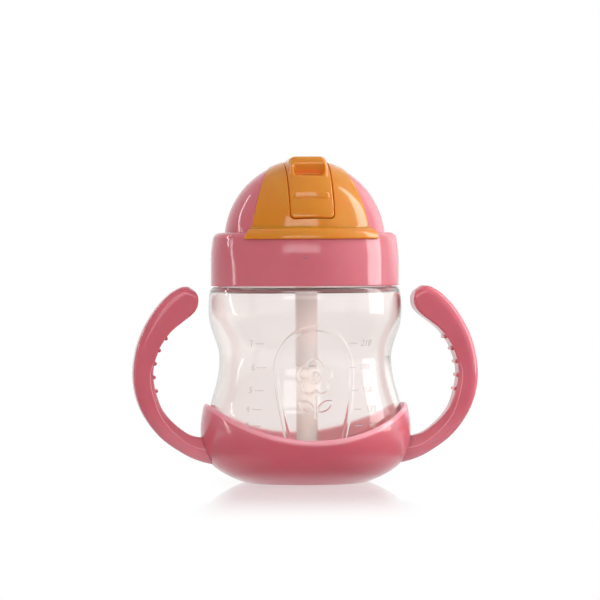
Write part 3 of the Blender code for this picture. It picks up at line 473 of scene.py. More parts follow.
sections, inner_line, crease_line = handle_sections()
rib_at, ahead = rib_spots(inner_line)
rib_at = rib_at + RIB_RISE * right_of(ahead)
for side, name in ((-1, "left"), (1, "right")):
    mirror = np.array((side, 1, 1))
    ribs = [quads(capsule(spot, RIB_HALF, RIB_RADIUS) * mirror) for spot in rib_at]
    patches = [quads(sections * mirror), *ribs]
    grip = even_shading(piece(f"handle_grip_{name}", patches, grip_pink, "base", [f"handle_{name}"]))
    spots = points_of(grip)[:, [0, 2]] * (side, 1)
    gap = np.sqrt(((spots[:, None] - crease_line) ** 2).sum(-1)).min(1)
    # Painted highlight and light: the crease gets the paler pink as a highlight line, and the root is painted
    # paler for light from the table.
    low = ROOT_GLOW * (1 - smoothstep(*ROOT_GLOW_Z, spots[:, 1]))
    paint_light(grip, np.maximum(1 - smoothstep(*CREASE_GLOW, gap), low))

# %% [markdown]
# ## Bottle
# The clear bottle follows the boot, pinches in to a waist, swells to a chest and ends in a threaded neck. Its
# raised front medallion and thread are part of the moulding, so they are pushed out of the same mesh. The
# columns lie close together at the front, where the medallion is, and far apart elsewhere.

# %% Bottle outline
BOTTLE_WALL, FIT = 1.5, 0.3
HEEL_TOP, BASE_R, BASE_Z, SEAT_R, SEAT_Z = 14.0, 39.4, 18.0, 38.85, 28.5
WAIST_R, WAIST_Z, CHEST_R, CHEST_Z = 34.7, 50.3, 39.0, 69.0
SHOULDER_R, SHOULDER_Z, NECK_R, NECK_TOP = 36.9, 78.9, 33.8, 92.5
THREAD_PITCH, THREAD_HEIGHT, THREAD_RISE = 6.0, 1.3, 5.1

heel = boot_line[boot_line[:, 1] < HEEL_TOP]
heel = heel - (BOOT_WALL + FIT) * right_of(unit(np.gradient(heel, axis=0)))
heel = heel[heel[:, 0] < BASE_R - 0.5]
rise_a, rise_b, rise_c = WAIST_Z - SEAT_Z, CHEST_Z - WAIST_Z, SHOULDER_Z - CHEST_Z
bottle_line = np.vstack([
    [(0, BOOT_WALL + FIT), (REST * 0.7, BOOT_WALL + FIT)],
    heel,
    cubic(heel[-1], heel[-1] + 2.5 * unit(heel[-1] - heel[-2]), (BASE_R, heel[-1][1] + 5),
          (BASE_R, BASE_Z), 8),
    cubic((BASE_R, BASE_Z), (BASE_R - 0.1, BASE_Z + 4), (BASE_R - 0.3, SEAT_Z - 3.5), (SEAT_R, SEAT_Z), 10),
    cubic((SEAT_R, SEAT_Z), (SEAT_R - 0.55, SEAT_Z + 0.3 * rise_a), (WAIST_R, WAIST_Z - 0.472 * rise_a),
          (WAIST_R, WAIST_Z), 24),
    cubic((WAIST_R, WAIST_Z), (WAIST_R, WAIST_Z + 0.332 * rise_b), (CHEST_R, CHEST_Z - 0.412 * rise_b),
          (CHEST_R, CHEST_Z), 24),
    cubic((CHEST_R, CHEST_Z), (CHEST_R, CHEST_Z + 0.62 * rise_c), (CHEST_R - 0.4, SHOULDER_Z),
          (SHOULDER_R, SHOULDER_Z), 12),
    cubic((SHOULDER_R, SHOULDER_Z), (SHOULDER_R - 1.5, SHOULDER_Z), (NECK_R, SHOULDER_Z),
          (NECK_R, SHOULDER_Z + 1.2), 6),
    [(NECK_R, NECK_TOP)],
])


def bottle_radius(z):
    """The bottle's outer radius at a height on its visible side."""
    side = bottle_line[bottle_line[:, 1] > BASE_Z - 2]
    return np.interp(z, side[:, 1], side[:, 0])


print(f"bottle: radius {bottle_radius(WAIST_Z):.1f} mm at the waist,",
      f"{bottle_radius(CHEST_Z):.1f} mm at the chest")

# %% Bottle relief
BAND_TOP_Z, BAND_WIDE_Z, BAND_HALF, BAND_FOOT_HALF, BAND_FOOT_Z = 63.6, 45.0, 16.6, 12.0, 18.0
BAND_WIDTH, BAND_HEIGHT, BAND_EDGE = 2.0, 0.42, 0.32
FLOWER_Z, PETALS, PETAL_OUT, PETAL_R, HEART_R = 43.0, 5, 4.1, 3.0, 1.9
LEAF_OUT, LEAF_DOWN, LEAF_COS, LEAF_SIN, LEAF_SPREAD, LEAF_R = 3.6, 11.4, 0.82, 0.57, 3.0, 4.7
PETAL_LINE, LINE, LINE_RISE, STALK_FROM, STALK_TO, STALK_RISE = 0.9, 0.8, 0.32, 7.0, 16.0, 0.3


def medallion_half(z):
    """Half the medallion's width at a height: an arch above its widest line, drawn in below it."""
    above = BAND_HALF * np.sqrt(np.clip(1 - ((z - BAND_WIDE_Z) / (BAND_TOP_Z - BAND_WIDE_Z)) ** 2, 0, 1))
    low = np.clip((BAND_WIDE_Z - z) / (BAND_WIDE_Z - BAND_FOOT_Z), 0, None)
    return np.where(z > BAND_WIDE_Z, above, BAND_HALF - (BAND_HALF - BAND_FOOT_HALF) * low ** 1.5)


arch_z = BAND_WIDE_Z + (BAND_TOP_Z - BAND_WIDE_Z) * np.sin(np.linspace(0, math.pi / 2, 70))
edge_z = np.concatenate([np.linspace(8, BAND_WIDE_Z, 90), arch_z])
edge_points = np.stack([medallion_half(edge_z), edge_z], -1)


def ridge(distance, width):
    """A raised line of a given width with eased edges."""
    return 1 - smoothstep(width / 2 - BAND_EDGE, width / 2, np.abs(distance))


def relief(across, z):
    """Height of the raised pattern at a point of the front, in mm."""
    spot = np.stack([np.abs(across), z], -1)
    gap = np.sqrt(((spot[..., None, :] - edge_points) ** 2).sum(-1)).min(-1)
    inside = np.abs(across) < medallion_half(z)
    height = BAND_HEIGHT * ridge(np.where(inside, gap, -gap) - BAND_WIDTH / 2, BAND_WIDTH)
    up = z - FLOWER_Z
    petals = []
    for turn in math.pi / 2 + 2 * math.pi * np.arange(PETALS) / PETALS:
        petal_x, petal_z = PETAL_OUT * math.cos(turn), PETAL_OUT * math.sin(turn)
        petals.append(np.hypot(across - petal_x, up - petal_z) - PETAL_R)
    stalk = np.where((up < -STALK_FROM) & (up > -STALK_TO), np.abs(across), 1e3)
    heart = np.hypot(across, up) - HEART_R
    lines = [(np.min(petals, axis=0), PETAL_LINE, LINE_RISE), (heart, LINE, LINE_RISE),
             (stalk, LINE, STALK_RISE)]
    for lean in (-1, 1):
        leaf_x, leaf_z = lean * across - LEAF_OUT, up + LEAF_DOWN
        leaf_u, leaf_v = LEAF_COS * leaf_x + LEAF_SIN * leaf_z, LEAF_COS * leaf_z - LEAF_SIN * leaf_x
        sides = [np.hypot(leaf_u, leaf_v + spread) for spread in (-LEAF_SPREAD, LEAF_SPREAD)]
        lines.append((np.max(sides, axis=0) - LEAF_R, LINE, LINE_RISE))
    for distance, width, rise in lines:
        height = np.maximum(height, rise * ridge(distance, width))
    return height


def thread(angle, z):
    """Height of the neck's screw thread: one turn that climbs by its pitch."""
    share = np.mod(angle, 2 * math.pi) / (2 * math.pi)
    off = np.abs(z - (SHOULDER_Z + THREAD_RISE + THREAD_PITCH * share))
    ends = smoothstep(0, 0.03, share) * (1 - smoothstep(0.95, 0.98, share))
    return THREAD_HEIGHT * (1 - smoothstep(0.6, 1.1, off)) * ends


# %% Bottle mesh
FRONT, FRONT_HALF = -math.pi / 2, math.radians(30)
RELIEF_FROM, RELIEF_TO = 15.0, 65.5
near = np.linspace(-FRONT_HALF, FRONT_HALF, 150)
far = np.linspace(FRONT_HALF, 2 * math.pi - FRONT_HALF, 112)[1:-1]
aside = np.concatenate([near, far])
turn = aside + FRONT
walked = lengths(bottle_line)
relief_start, relief_end = np.interp((RELIEF_FROM, RELIEF_TO), bottle_line[3:, 1], walked[3:])
stops = np.concatenate([np.linspace(0, relief_start, 24)[:-1],
                        np.linspace(relief_start, relief_end, 190)[:-1],
                        np.linspace(relief_end, walked[-1], 64)])
rows = []
for radius, z in at(bottle_line, stops):
    reach = np.full(turn.shape, radius)
    if RELIEF_FROM < z < RELIEF_TO:
        pattern = relief(aside * radius, np.full(turn.shape, z))
        reach = reach + np.where(np.abs(aside) < FRONT_HALF * 0.98, pattern, 0)
    if z > SHOULDER_Z + 1.3:
        reach = reach + thread(turn, z)
    rows.append(around(reach, turn, z))
stops = stops[::5]
inner = (at(bottle_line, stops) - BOTTLE_WALL * right_of(heading(bottle_line, stops, 0.1)))[::-1]
inner[-1] = (0, BOOT_WALL + FIT + BOTTLE_WALL)
inner = np.vstack([[(NECK_R - BOTTLE_WALL, NECK_TOP)], inner[1:]])
rows += [around(max(radius, 0), turn, z) for radius, z in inner]
bottle = piece("bottle_shell", [quads(rows)], bottle_clear, "bottle", ["bottle"])
bottle.visible_shadow = False

# %% [markdown]
# ## Graduations
# Raised ticks and plain numbers beside the medallion show how full the bottle is, in ounces on the left and
# millilitres on the right. Blender's own font gives the digits as a flat solid, and each point is then
# wrapped on the bottle's side.

# %% Graduations
LEVELS, OUNCES, MILLILITRES = (24.0, 30.5, 38.0, 47.0, 56.5), "34567", ("90", "120", "150", "180", "210")
DIGIT_MM, MARK_RISE, TICK_HIGH, TICK_STEPS = 2.7, 0.09, 0.4, 5
OUNCE_AT, OUNCE_TICK_AT, VOLUME_TICK_AT, VOLUME_AT = -42.5, -36.0, 26.5, 36.5
OUNCE_TICK, VOLUME_TICK = 4.0, 3.4


def digits(words):
    """Points and faces of a word set in the built-in font, centred, in millimetres."""
    setting = bpy.data.curves.new("digits", "FONT")
    setting.body, setting.align_x, setting.align_y = words, "CENTER", "CENTER"
    setting.size, setting.extrude, setting.resolution_u = DIGIT_MM * 1.35, MARK_RISE, 3
    word = bpy.data.objects.new("digits", setting)
    mesh = bpy.data.meshes.new_from_object(word)
    points = np.array([v.co for v in mesh.vertices])
    faces = [list(p.vertices) for p in mesh.polygons]
    bpy.data.objects.remove(word)
    bpy.data.curves.remove(setting)
    bpy.data.meshes.remove(mesh)
    return points, faces


def tick(length):
    """Points and faces of a short bar, cut into steps so that it can follow the curve."""
    ring = np.array([(-1, -1), (1, -1), (1, 1), (-1, 1)]) * (TICK_HIGH / 2, MARK_RISE)
    stops = np.linspace(-length / 2, length / 2, TICK_STEPS + 1)
    points, faces = quads([[(x, *corner) for corner in ring] for x in stops])
    last = 4 * TICK_STEPS
    return points, faces.tolist() + [[3, 2, 1, 0], [last, last + 1, last + 2, last + 3]]


def wrapped(points, degrees, z):
    """Flat points laid on the bottle's side at an angle from the front and a height."""
    radius = bottle_radius(z + points[:, 1])
    turn = FRONT + math.radians(degrees) + points[:, 0] / radius
    return around(radius + points[:, 2], turn, z + points[:, 1])


mark_points, mark_faces = [], []
for z, ounce, volume in zip(LEVELS, OUNCES, MILLILITRES):
    for (points, faces), degrees in ((digits(ounce), OUNCE_AT), (tick(OUNCE_TICK), OUNCE_TICK_AT),
                                     (tick(VOLUME_TICK), VOLUME_TICK_AT), (digits(volume), VOLUME_AT)):
        shift = sum(len(p) for p in mark_points)
        mark_points.append(wrapped(points, degrees, z))
        mark_faces += [[v + shift for v in face] for face in faces]
mesh = bpy.data.meshes.new("graduation_marks")
mesh.from_pydata((np.vstack(mark_points) * MM).tolist(), [], mark_faces)
mesh.materials.append(mark_clear)
marks = bpy.data.objects.new("graduation_marks", mesh)
bpy.context.scene.collection.objects.link(marks)
marks.visible_shadow = False
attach(marks, "bottle")
print(f"graduation_marks: {len(LEVELS)} levels each side, {len(mesh.polygons)} faces")

# %% [markdown]
# ## Screw collar
# The collar is a plain turned ring. Its side leans in slightly towards a rounded top edge, which is what
# bends the studio lights into short patches near the top. The mould's gate leaves a small button on the
# front.

# %% Collar
COLLAR_R, COLLAR_TOP, COLLAR_BOTTOM, COLLAR_BORE = 38.0, 100.8, 79.2, 35.7
SHELF_Z, OPENING, SIDE_Z, LOW_SIDE_Z = 98.8, 32.8, 88.3, 84.0
EDGE_CENTRE, EDGE_R, LEAN = (34.2, 97.8), 3.0, 9.0
GATE_R, GATE_STRETCH, GATE_RISE, GATE_SINK, GATE_Z = 0.5, 1.7, 0.3, 0.03, 90.7
edge = arc(EDGE_CENTRE, EDGE_R, 90, LEAN, 14)
run = 0.4 * (edge[-1][1] - SIDE_Z)
collar_line = np.vstack([
    [(OPENING, SHELF_Z), (OPENING, COLLAR_TOP - 0.3), (OPENING + 0.1, COLLAR_TOP - 0.1)],
    [(OPENING + 0.3, COLLAR_TOP)],
    edge,
    cubic(edge[-1], (edge[-1][0] + run * math.tan(math.radians(LEAN)), edge[-1][1] - run),
          (COLLAR_R, SIDE_Z + run), (COLLAR_R, SIDE_Z), 14),
    [(COLLAR_R, LOW_SIDE_Z)],
    arc((COLLAR_R - 0.5, COLLAR_BOTTOM + 0.5), 0.5, 0, -90, 5),
    [(COLLAR_BORE + 0.2, COLLAR_BOTTOM)],
    [(COLLAR_BORE, z) for z in np.linspace(COLLAR_BOTTOM + 0.2, SHELF_Z, 44)],
    [(OPENING, SHELF_Z)],
])
turn = np.linspace(0, 2 * math.pi, 144, endpoint=False)
rows = []
for radius, z in collar_line:
    cut = thread(turn, z + THREAD_PITCH / 2) if radius == COLLAR_BORE else 0
    rows.append(around(radius - cut, turn, z))
gate = np.array(lathe(arc((0, 0), GATE_R, 0, 90, 5), 16))
gate = np.stack([gate[..., 0] * GATE_STRETCH + math.sin(AZIMUTH) * COLLAR_R,
                 GATE_SINK - gate[..., 2] * GATE_RISE - math.cos(AZIMUTH) * COLLAR_R,
                 gate[..., 1] + GATE_Z], -1)
collar = even_shading(piece("collar_ring", [quads(rows), quads(gate)], lid_pink, "collar", ["screw_collar"]))

# %% [markdown]
# ## Dome
# Under the orange hood sits a pink dome. Two caps of a sphere show beside the hood, and a sunk track between
# them carries the shutter and has the straw's window. On the sphere, an angle from the front over the top and
# a distance across give a grid that follows the hood's leaning sides.

# %% Dome
DOME_Z, DOME_R, HOOD_R, HOOD_WALL, TRACK_R, TRACK_WALL = 97.4, 32.5, 33.0, 2.7, 30.0, 1.4
HOOD_WIDE, HOOD_FLARE, HOOD_LEAN, HOOD_BACK = 19.2, 0.24, 0.166, 12.3
WINDOW_HALF, WINDOW_FROM, WINDOW_TO = 6.5, 10.0, 85.0
DOME_FOOT_Z, CAP_ROUND = 98.6, 0.6
CLOSE_STEPS = np.array((0.0, 0.02, 0.08, 0.18, 0.32, 0.5))


def on_dome(radius, theta, x):
    """A point of a sphere about the dome's centre, from an angle over the top and a distance across."""
    reach = np.sqrt(np.maximum(radius ** 2 - x ** 2, 0))
    return np.stack([x, -reach * np.cos(theta), DOME_Z + reach * np.sin(theta)], -1)


def hood_half(radius, theta, grow=0.0):
    """Half the hood's width on a sphere at an angle over the top."""
    x = np.full(np.shape(theta), HOOD_WIDE)
    for _ in range(12):
        reach = np.sqrt(radius ** 2 - x ** 2)
        wide = HOOD_WIDE + HOOD_FLARE * reach * np.cos(theta) - HOOD_LEAN * reach * np.sin(theta)
        x = np.maximum(wide, HOOD_BACK) + grow
    return x


def foot_angle(radius, x, z):
    """The angle at which a line across the sphere comes down to a height."""
    return np.arcsin((z - DOME_Z) / np.sqrt(radius ** 2 - x ** 2))


def seam(radius, z, count):
    """Points where the hood's side meets a sphere, from the front foot over to the back."""
    first, last = 0.12, 0.12
    for _ in range(20):
        first = foot_angle(radius, hood_half(radius, np.array([first])), z)[0]
        last = foot_angle(radius, hood_half(radius, np.array([math.pi - last])), z)[0]
    theta = np.linspace(first, math.pi - last, count)
    return on_dome(radius, theta, hood_half(radius, theta))


def dome_cap():
    """Rows of one cap: a closed section for each stop along the seam, from the seam down to the foot."""
    start = seam(DOME_R, DOME_FOOT_Z, 97) - (0, 0, DOME_Z)
    first, last = np.arctan2(start[[0, -1], 1], start[[0, -1], 0])
    foot = math.sqrt(DOME_R ** 2 - (DOME_FOOT_Z - DOME_Z) ** 2)
    end = around(foot, np.linspace(first, last, len(start)), DOME_FOOT_Z - DOME_Z)
    rows = []
    for a, b in zip(start / DOME_R, end / DOME_R):
        whole = math.acos(min(1.0, float(a @ b)))
        share = np.concatenate([CLOSE_STEPS / DOME_R / max(whole, 0.02), np.linspace(0.06, 1, 36)])
        share = np.clip(share, 0, 1)
        way = np.repeat(a[None], len(share), 0)
        if whole > 1e-5:
            before, after = np.sin((1 - share) * whole)[:, None], np.sin(share * whole)[:, None]
            way = (before * a + after * b) / math.sin(whole)
        out = way * (DOME_R - rounded(share * whole * DOME_R, CAP_ROUND))[:, None]
        back = np.vstack([way[::-5], way[:1]]) * (DOME_R - HOOD_WALL)
        rows.append(np.vstack([out, back, out[:1]]) + (0, 0, DOME_Z))
    return np.array(rows)


cap = dome_cap()
caps = [quads(cap, wrap=False), quads(cap * (-1, 1, 1), wrap=False)]
dome = even_shading(piece("dome_caps", caps, lid_pink, "lid", ["dome_cap"]))

# %% Track with the straw's window
def banded(radius, foot_z, hole, hole_from, hole_to, corner, counts, grow=0.0):
    """A band over the dome with a hole along its middle, as patches of its right and left halves."""
    side, middle, front, slot, back = counts
    start, end = math.radians(hole_from), math.radians(hole_to)

    def strip(theta_of, x_of, count, steps):
        """Rows from one end of a part to the other; each row runs from the middle outwards."""
        rows = []
        for v in np.linspace(0, 1, steps):
            theta = np.full(count, float(theta_of(v, np.zeros(1))[0]))
            for _ in range(6):
                x = x_of(v, hood_half(radius, theta, grow), np.arange(count))
                theta = theta_of(v, x)
            rows.append(on_dome(radius, theta, x))
        return rows

    def across(edge):
        """The whole half: close spacing to an edge, then out to the side."""
        return lambda v, wide, k: np.where(k <= middle, edge * k / middle,
                                           edge + (wide - edge) * (k - middle) / side)

    def eased(v):
        """Stops along the hole, closer at a rounded corner."""
        return v ** 1.7 if corner else v

    def beside(v, wide, k):
        """Beside the hole, whose lower corners are rounded."""
        edge = hole - (rounded(radius * (end - start) * eased(v), corner) if corner else 0.0)
        return edge + (wide - edge) * k / side

    def from_foot(v, x):
        """From the front foot up to the hole."""
        low = foot_angle(radius, x, foot_z)
        return low + (start - low) * v

    def over_hole(v, x):
        """Along the hole."""
        return np.full(np.shape(x), start + (end - start) * eased(v))

    def to_back(v, x):
        """From the hole down to the back foot."""
        return end + (math.pi - foot_angle(radius, x, foot_z) - end) * v

    half = [strip(from_foot, across(hole - corner), side + middle + 1, front),
            strip(over_hole, beside, side + 1, slot), strip(to_back, across(hole), side + middle + 1, back)]
    return [quads(np.array(rows) * (mirror, 1, 1), wrap=False) for rows in half for mirror in (1, -1)]


def thicken(item, wall, round_mm):
    """Give an open surface its wall, inwards, and round the edges."""
    polygon = item.data.polygons[0]
    if polygon.normal.dot(polygon.center - Vector((0, 0, DOME_Z * MM))) < 0:
        item.data.flip_normals()
    wall_step = item.modifiers.new("wall", "SOLIDIFY")
    wall_step.thickness = wall * MM
    wall_step.offset = -1
    edge_step = item.modifiers.new("rounded_edges", "BEVEL")
    edge_step.width = round_mm * MM
    edge_step.segments = 3
    edge_step.limit_method = "ANGLE"
    edge_step.angle_limit = math.radians(50)
    settle(item)
    even_shading(item)


patches = banded(TRACK_R, DOME_FOOT_Z, WINDOW_HALF, WINDOW_FROM, WINDOW_TO, 0, (10, 6, 5, 40, 50))
track = piece("dome_track", patches, lid_pink, "lid")
thicken(track, TRACK_WALL, 0.3)

# %% [markdown]
# ## Hood and brim
# The orange hood is a wedge of a slightly larger sphere, with a slot down its middle for the shutter. Its
# lower edge flows into a brim that follows the collar's rounded shoulder.

# %% Hood
SLIDER_HALF, SLIDER_FROM, SLIDER_TO, TRAVEL, SLOT_MARGIN = 8.75, 16.0, 98.0, 70.0, 0.9
CORNER, HOOD_LIP, HOOD_ROUND, HOOD_FOOT_Z = 2.1, 1.3, 0.55, 101.7


def depth_share(item):
    """How deep each point lies below the hood's surface, from 0 at the surface to 1 at a wall's depth."""
    return smoothstep(0.2, 1.0, HOOD_R - np.linalg.norm(points_of(item) - (0, 0, DOME_Z), axis=1))


patches = banded(HOOD_R, HOOD_FOOT_Z, SLIDER_HALF + FIT, SLIDER_FROM - SLOT_MARGIN,
                 SLIDER_TO + TRAVEL + SLOT_MARGIN, CORNER + FIT, (16, 8, 12, 120, 8), grow=-FIT)
hood = piece("hood_shell", patches, hood_orange, "lid", ["slider_hood"])
thicken(hood, HOOD_LIP, HOOD_ROUND)
# Painted glow: deep in the slot the hood is painted redder.
paint_light(hood, depth_share(hood))

# %% Brim
BRIM_ANGLE, BRIM_THICK, BRIM_GAP, BRIM_END, BRIM_MEET, BRIM_UP = 45.6, 1.15, 0.35, 10.0, 76.0, 5.7
FLOW_START, FLOW_END, END_SHARE, END_ROUND = 0.9, 1.5, 0.015, 0.3
TOP_STEPS, TIP_STEPS, UNDER_STEPS = 16, 6, 10

under = EDGE_R + BRIM_GAP
tip = arc(EDGE_CENTRE, under + BRIM_THICK / 2, BRIM_END, BRIM_END, 0)[0]
start = np.array((math.sqrt((HOOD_R - 0.02) ** 2 - BRIM_UP ** 2), DOME_Z + BRIM_UP))
root = start - (1.0, 0)
down = np.array((BRIM_UP, -start[0])) / HOOD_R
ahead = np.array((math.sin(math.radians(BRIM_MEET)), -math.cos(math.radians(BRIM_MEET))))
shoulder = arc(EDGE_CENTRE, under + BRIM_THICK, BRIM_MEET, BRIM_END, TOP_STEPS)
flow = cubic(start, start + FLOW_START * down, shoulder[0] - FLOW_END * ahead, shoulder[0], 14)
top_line = np.vstack([start, flow, shoulder[1:]])
brim_line = np.vstack([root, top_line, arc(tip, BRIM_THICK / 2, BRIM_END, BRIM_END - 180, TIP_STEPS)[1:-1],
                       arc(EDGE_CENTRE, under, BRIM_END, 90, UNDER_STEPS),
                       (start[0] - 2.2, EDGE_CENTRE[1] + under), root])
middle = brim_line[:-1].mean(0)
# Its ends slant outwards from the hood's side to the tip, and the underside follows them.
side_half = hood_half(HOOD_R, np.arcsin(BRIM_UP / HOOD_R), -FIT)
tip_half = tip[0] * math.sin(math.radians(BRIM_ANGLE))
fall = np.clip((start[1] - top_line[:, 1]) / (start[1] - tip[1]), 0, 1)
slant = np.degrees(np.arcsin((side_half + (tip_half - side_half) * fall) / top_line[:, 0]))
slant = (slant + np.linspace(slant[0], slant[-1], len(slant))) / 2
below = np.interp(np.linspace(BRIM_END, 90, UNDER_STEPS + 1), np.linspace(BRIM_END, BRIM_MEET, TOP_STEPS + 1),
                  slant[::-1][:TOP_STEPS + 1])
reach = np.concatenate([slant[:1], slant, np.full(TIP_STEPS - 1, slant[-1]), below, slant[:1], slant[:1]])
plain = 1 - END_SHARE
stops = np.concatenate([np.linspace(-1, -plain, 5)[:-1], np.linspace(-plain, plain, 73),
                        np.linspace(plain, 1, 5)[1:]])
rows = []
for share in stops:
    inset = END_ROUND * rounded(np.array((1 - abs(share)) / END_SHARE), 1.0)
    line = brim_line + inset * unit(middle - brim_line)
    rows.append(around(line[:, 0], np.radians(reach * share - 90), line[:, 1]))
ends = [np.tile(row.mean(0), (len(row), 1)) for row in (rows[0], rows[-1])]
brim = even_shading(piece("hood_brim", [quads([ends[0], *rows, ends[1]], wrap=False)], hood_orange, "lid"))

# %% [markdown]
# ## Shutter
# The shutter is a curved plate in the hood's slot, with a block-shaped thumb tab on top and a pill-shaped
# ridge below it. Its face is a grid over angle and width whose distance from the dome's cross axis is a
# formula: a plate with rounded edges and corners, the tab's side line with a scoop cut into its front, and
# the ridge. A second grid closes the inside.

# %% Shutter face
TAB_HALF, TAB_CORNER, TAB_FROM, SCOOP_HALF, SCOOP_IN, SCOOP_OUT = 7.85, 3.1, 60.0, 6.5, 1.7, 0.35
RIDGE_AT, RIDGE_HALF, RIDGE_R, RIDGE_RISE, RIDGE_LEAN = 33.3, 7.25, 1.55, 0.85, 0.36
PLATE_ROUND, BACK_CORNER = 0.7, 0.6
SPAN = HOOD_R * math.radians(SLIDER_TO - SLIDER_FROM)
# Side lines as points forward of and above the dome's centre: the level top, the scoop below it and the solid
# shoulders beside that.
TAB_TOP = [(15.55, 31.5), (14.7, 32.7), (13.4, 33.5), (12.0, 33.75), (6.0, 33.8), (0.0, 33.7), (-2.0, 33.35),
           (-4.6, 32.7)]
SCOOP = [(20.7, 25.7), (18.8, 26.0), (16.6, 26.3), (15.35, 26.7), (15.2, 27.4), (15.4, 28.8), (15.7, 30.3)]
SHOULDER = [(20.7, 25.7), (19.6, 27.5), (18.2, 29.3), (16.5, 31.2), (14.6, 32.75)]


def side_line(points):
    """Angles in degrees and distances from the cross axis along a smooth side line."""
    line = follow(points, 10)
    return np.degrees(np.arctan2(line[:, 1], line[:, 0])), np.hypot(line[:, 0], line[:, 1])


scoop_line, shoulder_line = side_line(SCOOP + TAB_TOP), side_line(SHOULDER + TAB_TOP[2:])


def plate_gap(x, walked):
    """Distance inside the plate's outline, whose lower corners are rounded."""
    low = walked < SPAN / 2
    corner = np.where(low, CORNER, BACK_CORNER)
    qx = np.abs(x) - SLIDER_HALF + corner
    qs = np.where(low, -walked, walked - SPAN) + corner
    return corner - np.hypot(np.maximum(qx, 0), np.maximum(qs, 0)) - np.minimum(np.maximum(qx, qs), 0)


def shutter_reach(theta, x):
    """Distance of the shutter's face from the dome's cross axis, in mm, along a row at one angle."""
    wide = np.abs(x)
    up = HOOD_R * math.radians(theta - RIDGE_AT)
    off = np.hypot(np.maximum(wide - RIDGE_HALF + RIDGE_R, 0), up) / RIDGE_R
    lift = (RIDGE_RISE + RIDGE_LEAN * up) * np.sqrt(1 - np.clip(off, 0, 1) ** 4)
    gap = plate_gap(x, HOOD_R * math.radians(theta - SLIDER_FROM))
    plate = np.sqrt((HOOD_R + lift - rounded(np.maximum(gap, 0), PLATE_ROUND)) ** 2 - x ** 2)
    if theta <= scoop_line[0][0]:
        return plate
    scoop = np.full(x.shape, np.interp(theta, *scoop_line))
    if theta < TAB_FROM:
        scoop = np.minimum(scoop, plate)
    block = np.interp(theta, *shoulder_line)
    raised = scoop + (block - scoop) * smoothstep(SCOOP_HALF - SCOOP_IN, SCOOP_HALF + SCOOP_OUT, wide)
    raised = raised - rounded(np.maximum(TAB_HALF - wide, 0), TAB_CORNER)
    raised = np.where(wide < SCOOP_HALF + SCOOP_OUT, raised, np.maximum(raised, plate))
    return np.where(wide < TAB_HALF, raised, plate)


# %% Shutter mesh
SLIDER_INNER, FOOT_TOP, FOOT_HALF, FOOT_AHEAD = HOOD_R - HOOD_WALL, 31.4, 10.4, 1.5
# The grid is close at the rounded rim, the tab's side and the scoop's side, and along the corners, ridge
# and tab.
RIM_STEPS = (0.0, 0.004, 0.014, 0.03, 0.05, 0.08)
TAB_STEPS = (0.098, 0.1025, 0.1035, 0.108, 0.116, 0.128, 0.145, 0.165, 0.19, 0.22, 0.26)
SCOOP_STEPS = (0.273, 0.283, 0.294, 0.305, 0.315, 0.326, 0.34)
CORNER_STEPS = np.array((0, 0.04, 0.12, 0.25, 0.45, 0.7, 1.0, 1.3, 1.7, 2.1))
steps = np.array(RIM_STEPS + TAB_STEPS + SCOOP_STEPS)
across = np.concatenate([-1 + steps, np.linspace(-0.63, 0.63, 37), 1 - steps[::-1]])
along = np.concatenate([CORNER_STEPS / SPAN, np.linspace(0.055, 0.42, 110), np.linspace(0.424, 0.66, 90),
                        np.linspace(0.665, 0.985, 50), (0.991, 0.995, 0.998, 1.0)])
face, inside = [], []
for share in along:
    theta = SLIDER_FROM + (SLIDER_TO - SLIDER_FROM) * share
    walked = np.array((share, 1 - share)) * SPAN
    x = across * (SLIDER_HALF - rounded(walked[0], CORNER) - rounded(walked[1], BACK_CORNER))
    turn = math.radians(theta)
    for rows, deep in ((face, shutter_reach(theta, x)), (inside, np.sqrt(SLIDER_INNER ** 2 - x ** 2))):
        rows.append(np.stack([x, -deep * math.cos(turn), DOME_Z + deep * math.sin(turn)], -1))
face, inside = np.array(face), np.array(inside)
walls = [np.stack([face[:, k], inside[:, k]]) for k in (0, -1)]
walls += [np.stack([face[k], inside[k]]) for k in (0, -1)]
flange = []
for theta in np.radians(np.linspace(SLIDER_FROM - FOOT_AHEAD, SLIDER_TO, 60)):
    radius = np.array((FOOT_TOP, FOOT_TOP, SLIDER_INNER, SLIDER_INNER, FOOT_TOP))
    flange.append(on_dome(radius, theta, np.array((-1, 1, 1, -1, -1)) * FOOT_HALF))
ends = [np.tile(row.mean(0), (len(row), 1)) for row in (flange[0], flange[-1])]
patches = [quads(p, wrap=False) for p in (face, inside, *walls, [ends[0], *flange, ends[1]])]
shutter = even_shading(piece("shutter_plate", patches, shutter_orange, "shutter", ["slider"]))
# Painted glow: deep in the gap and under the tab the shutter is painted redder, less in the middle of the
# scoop.
wide = np.abs(points_of(shutter)[:, 0])
paint_light(shutter, depth_share(shutter) * (0.4 + 0.6 * smoothstep(SCOOP_HALF, TAB_HALF, wide)))

# %% [markdown]
# ## Straw
# A soft silicone straw hangs through the lid's deck, with a rigid tube plugged into its lower end. Above
# the deck it bends forward under the shutter and springs up when the shutter slides back. Its upper part is
# built as one tube from the lid to the spout, in its bent shape.

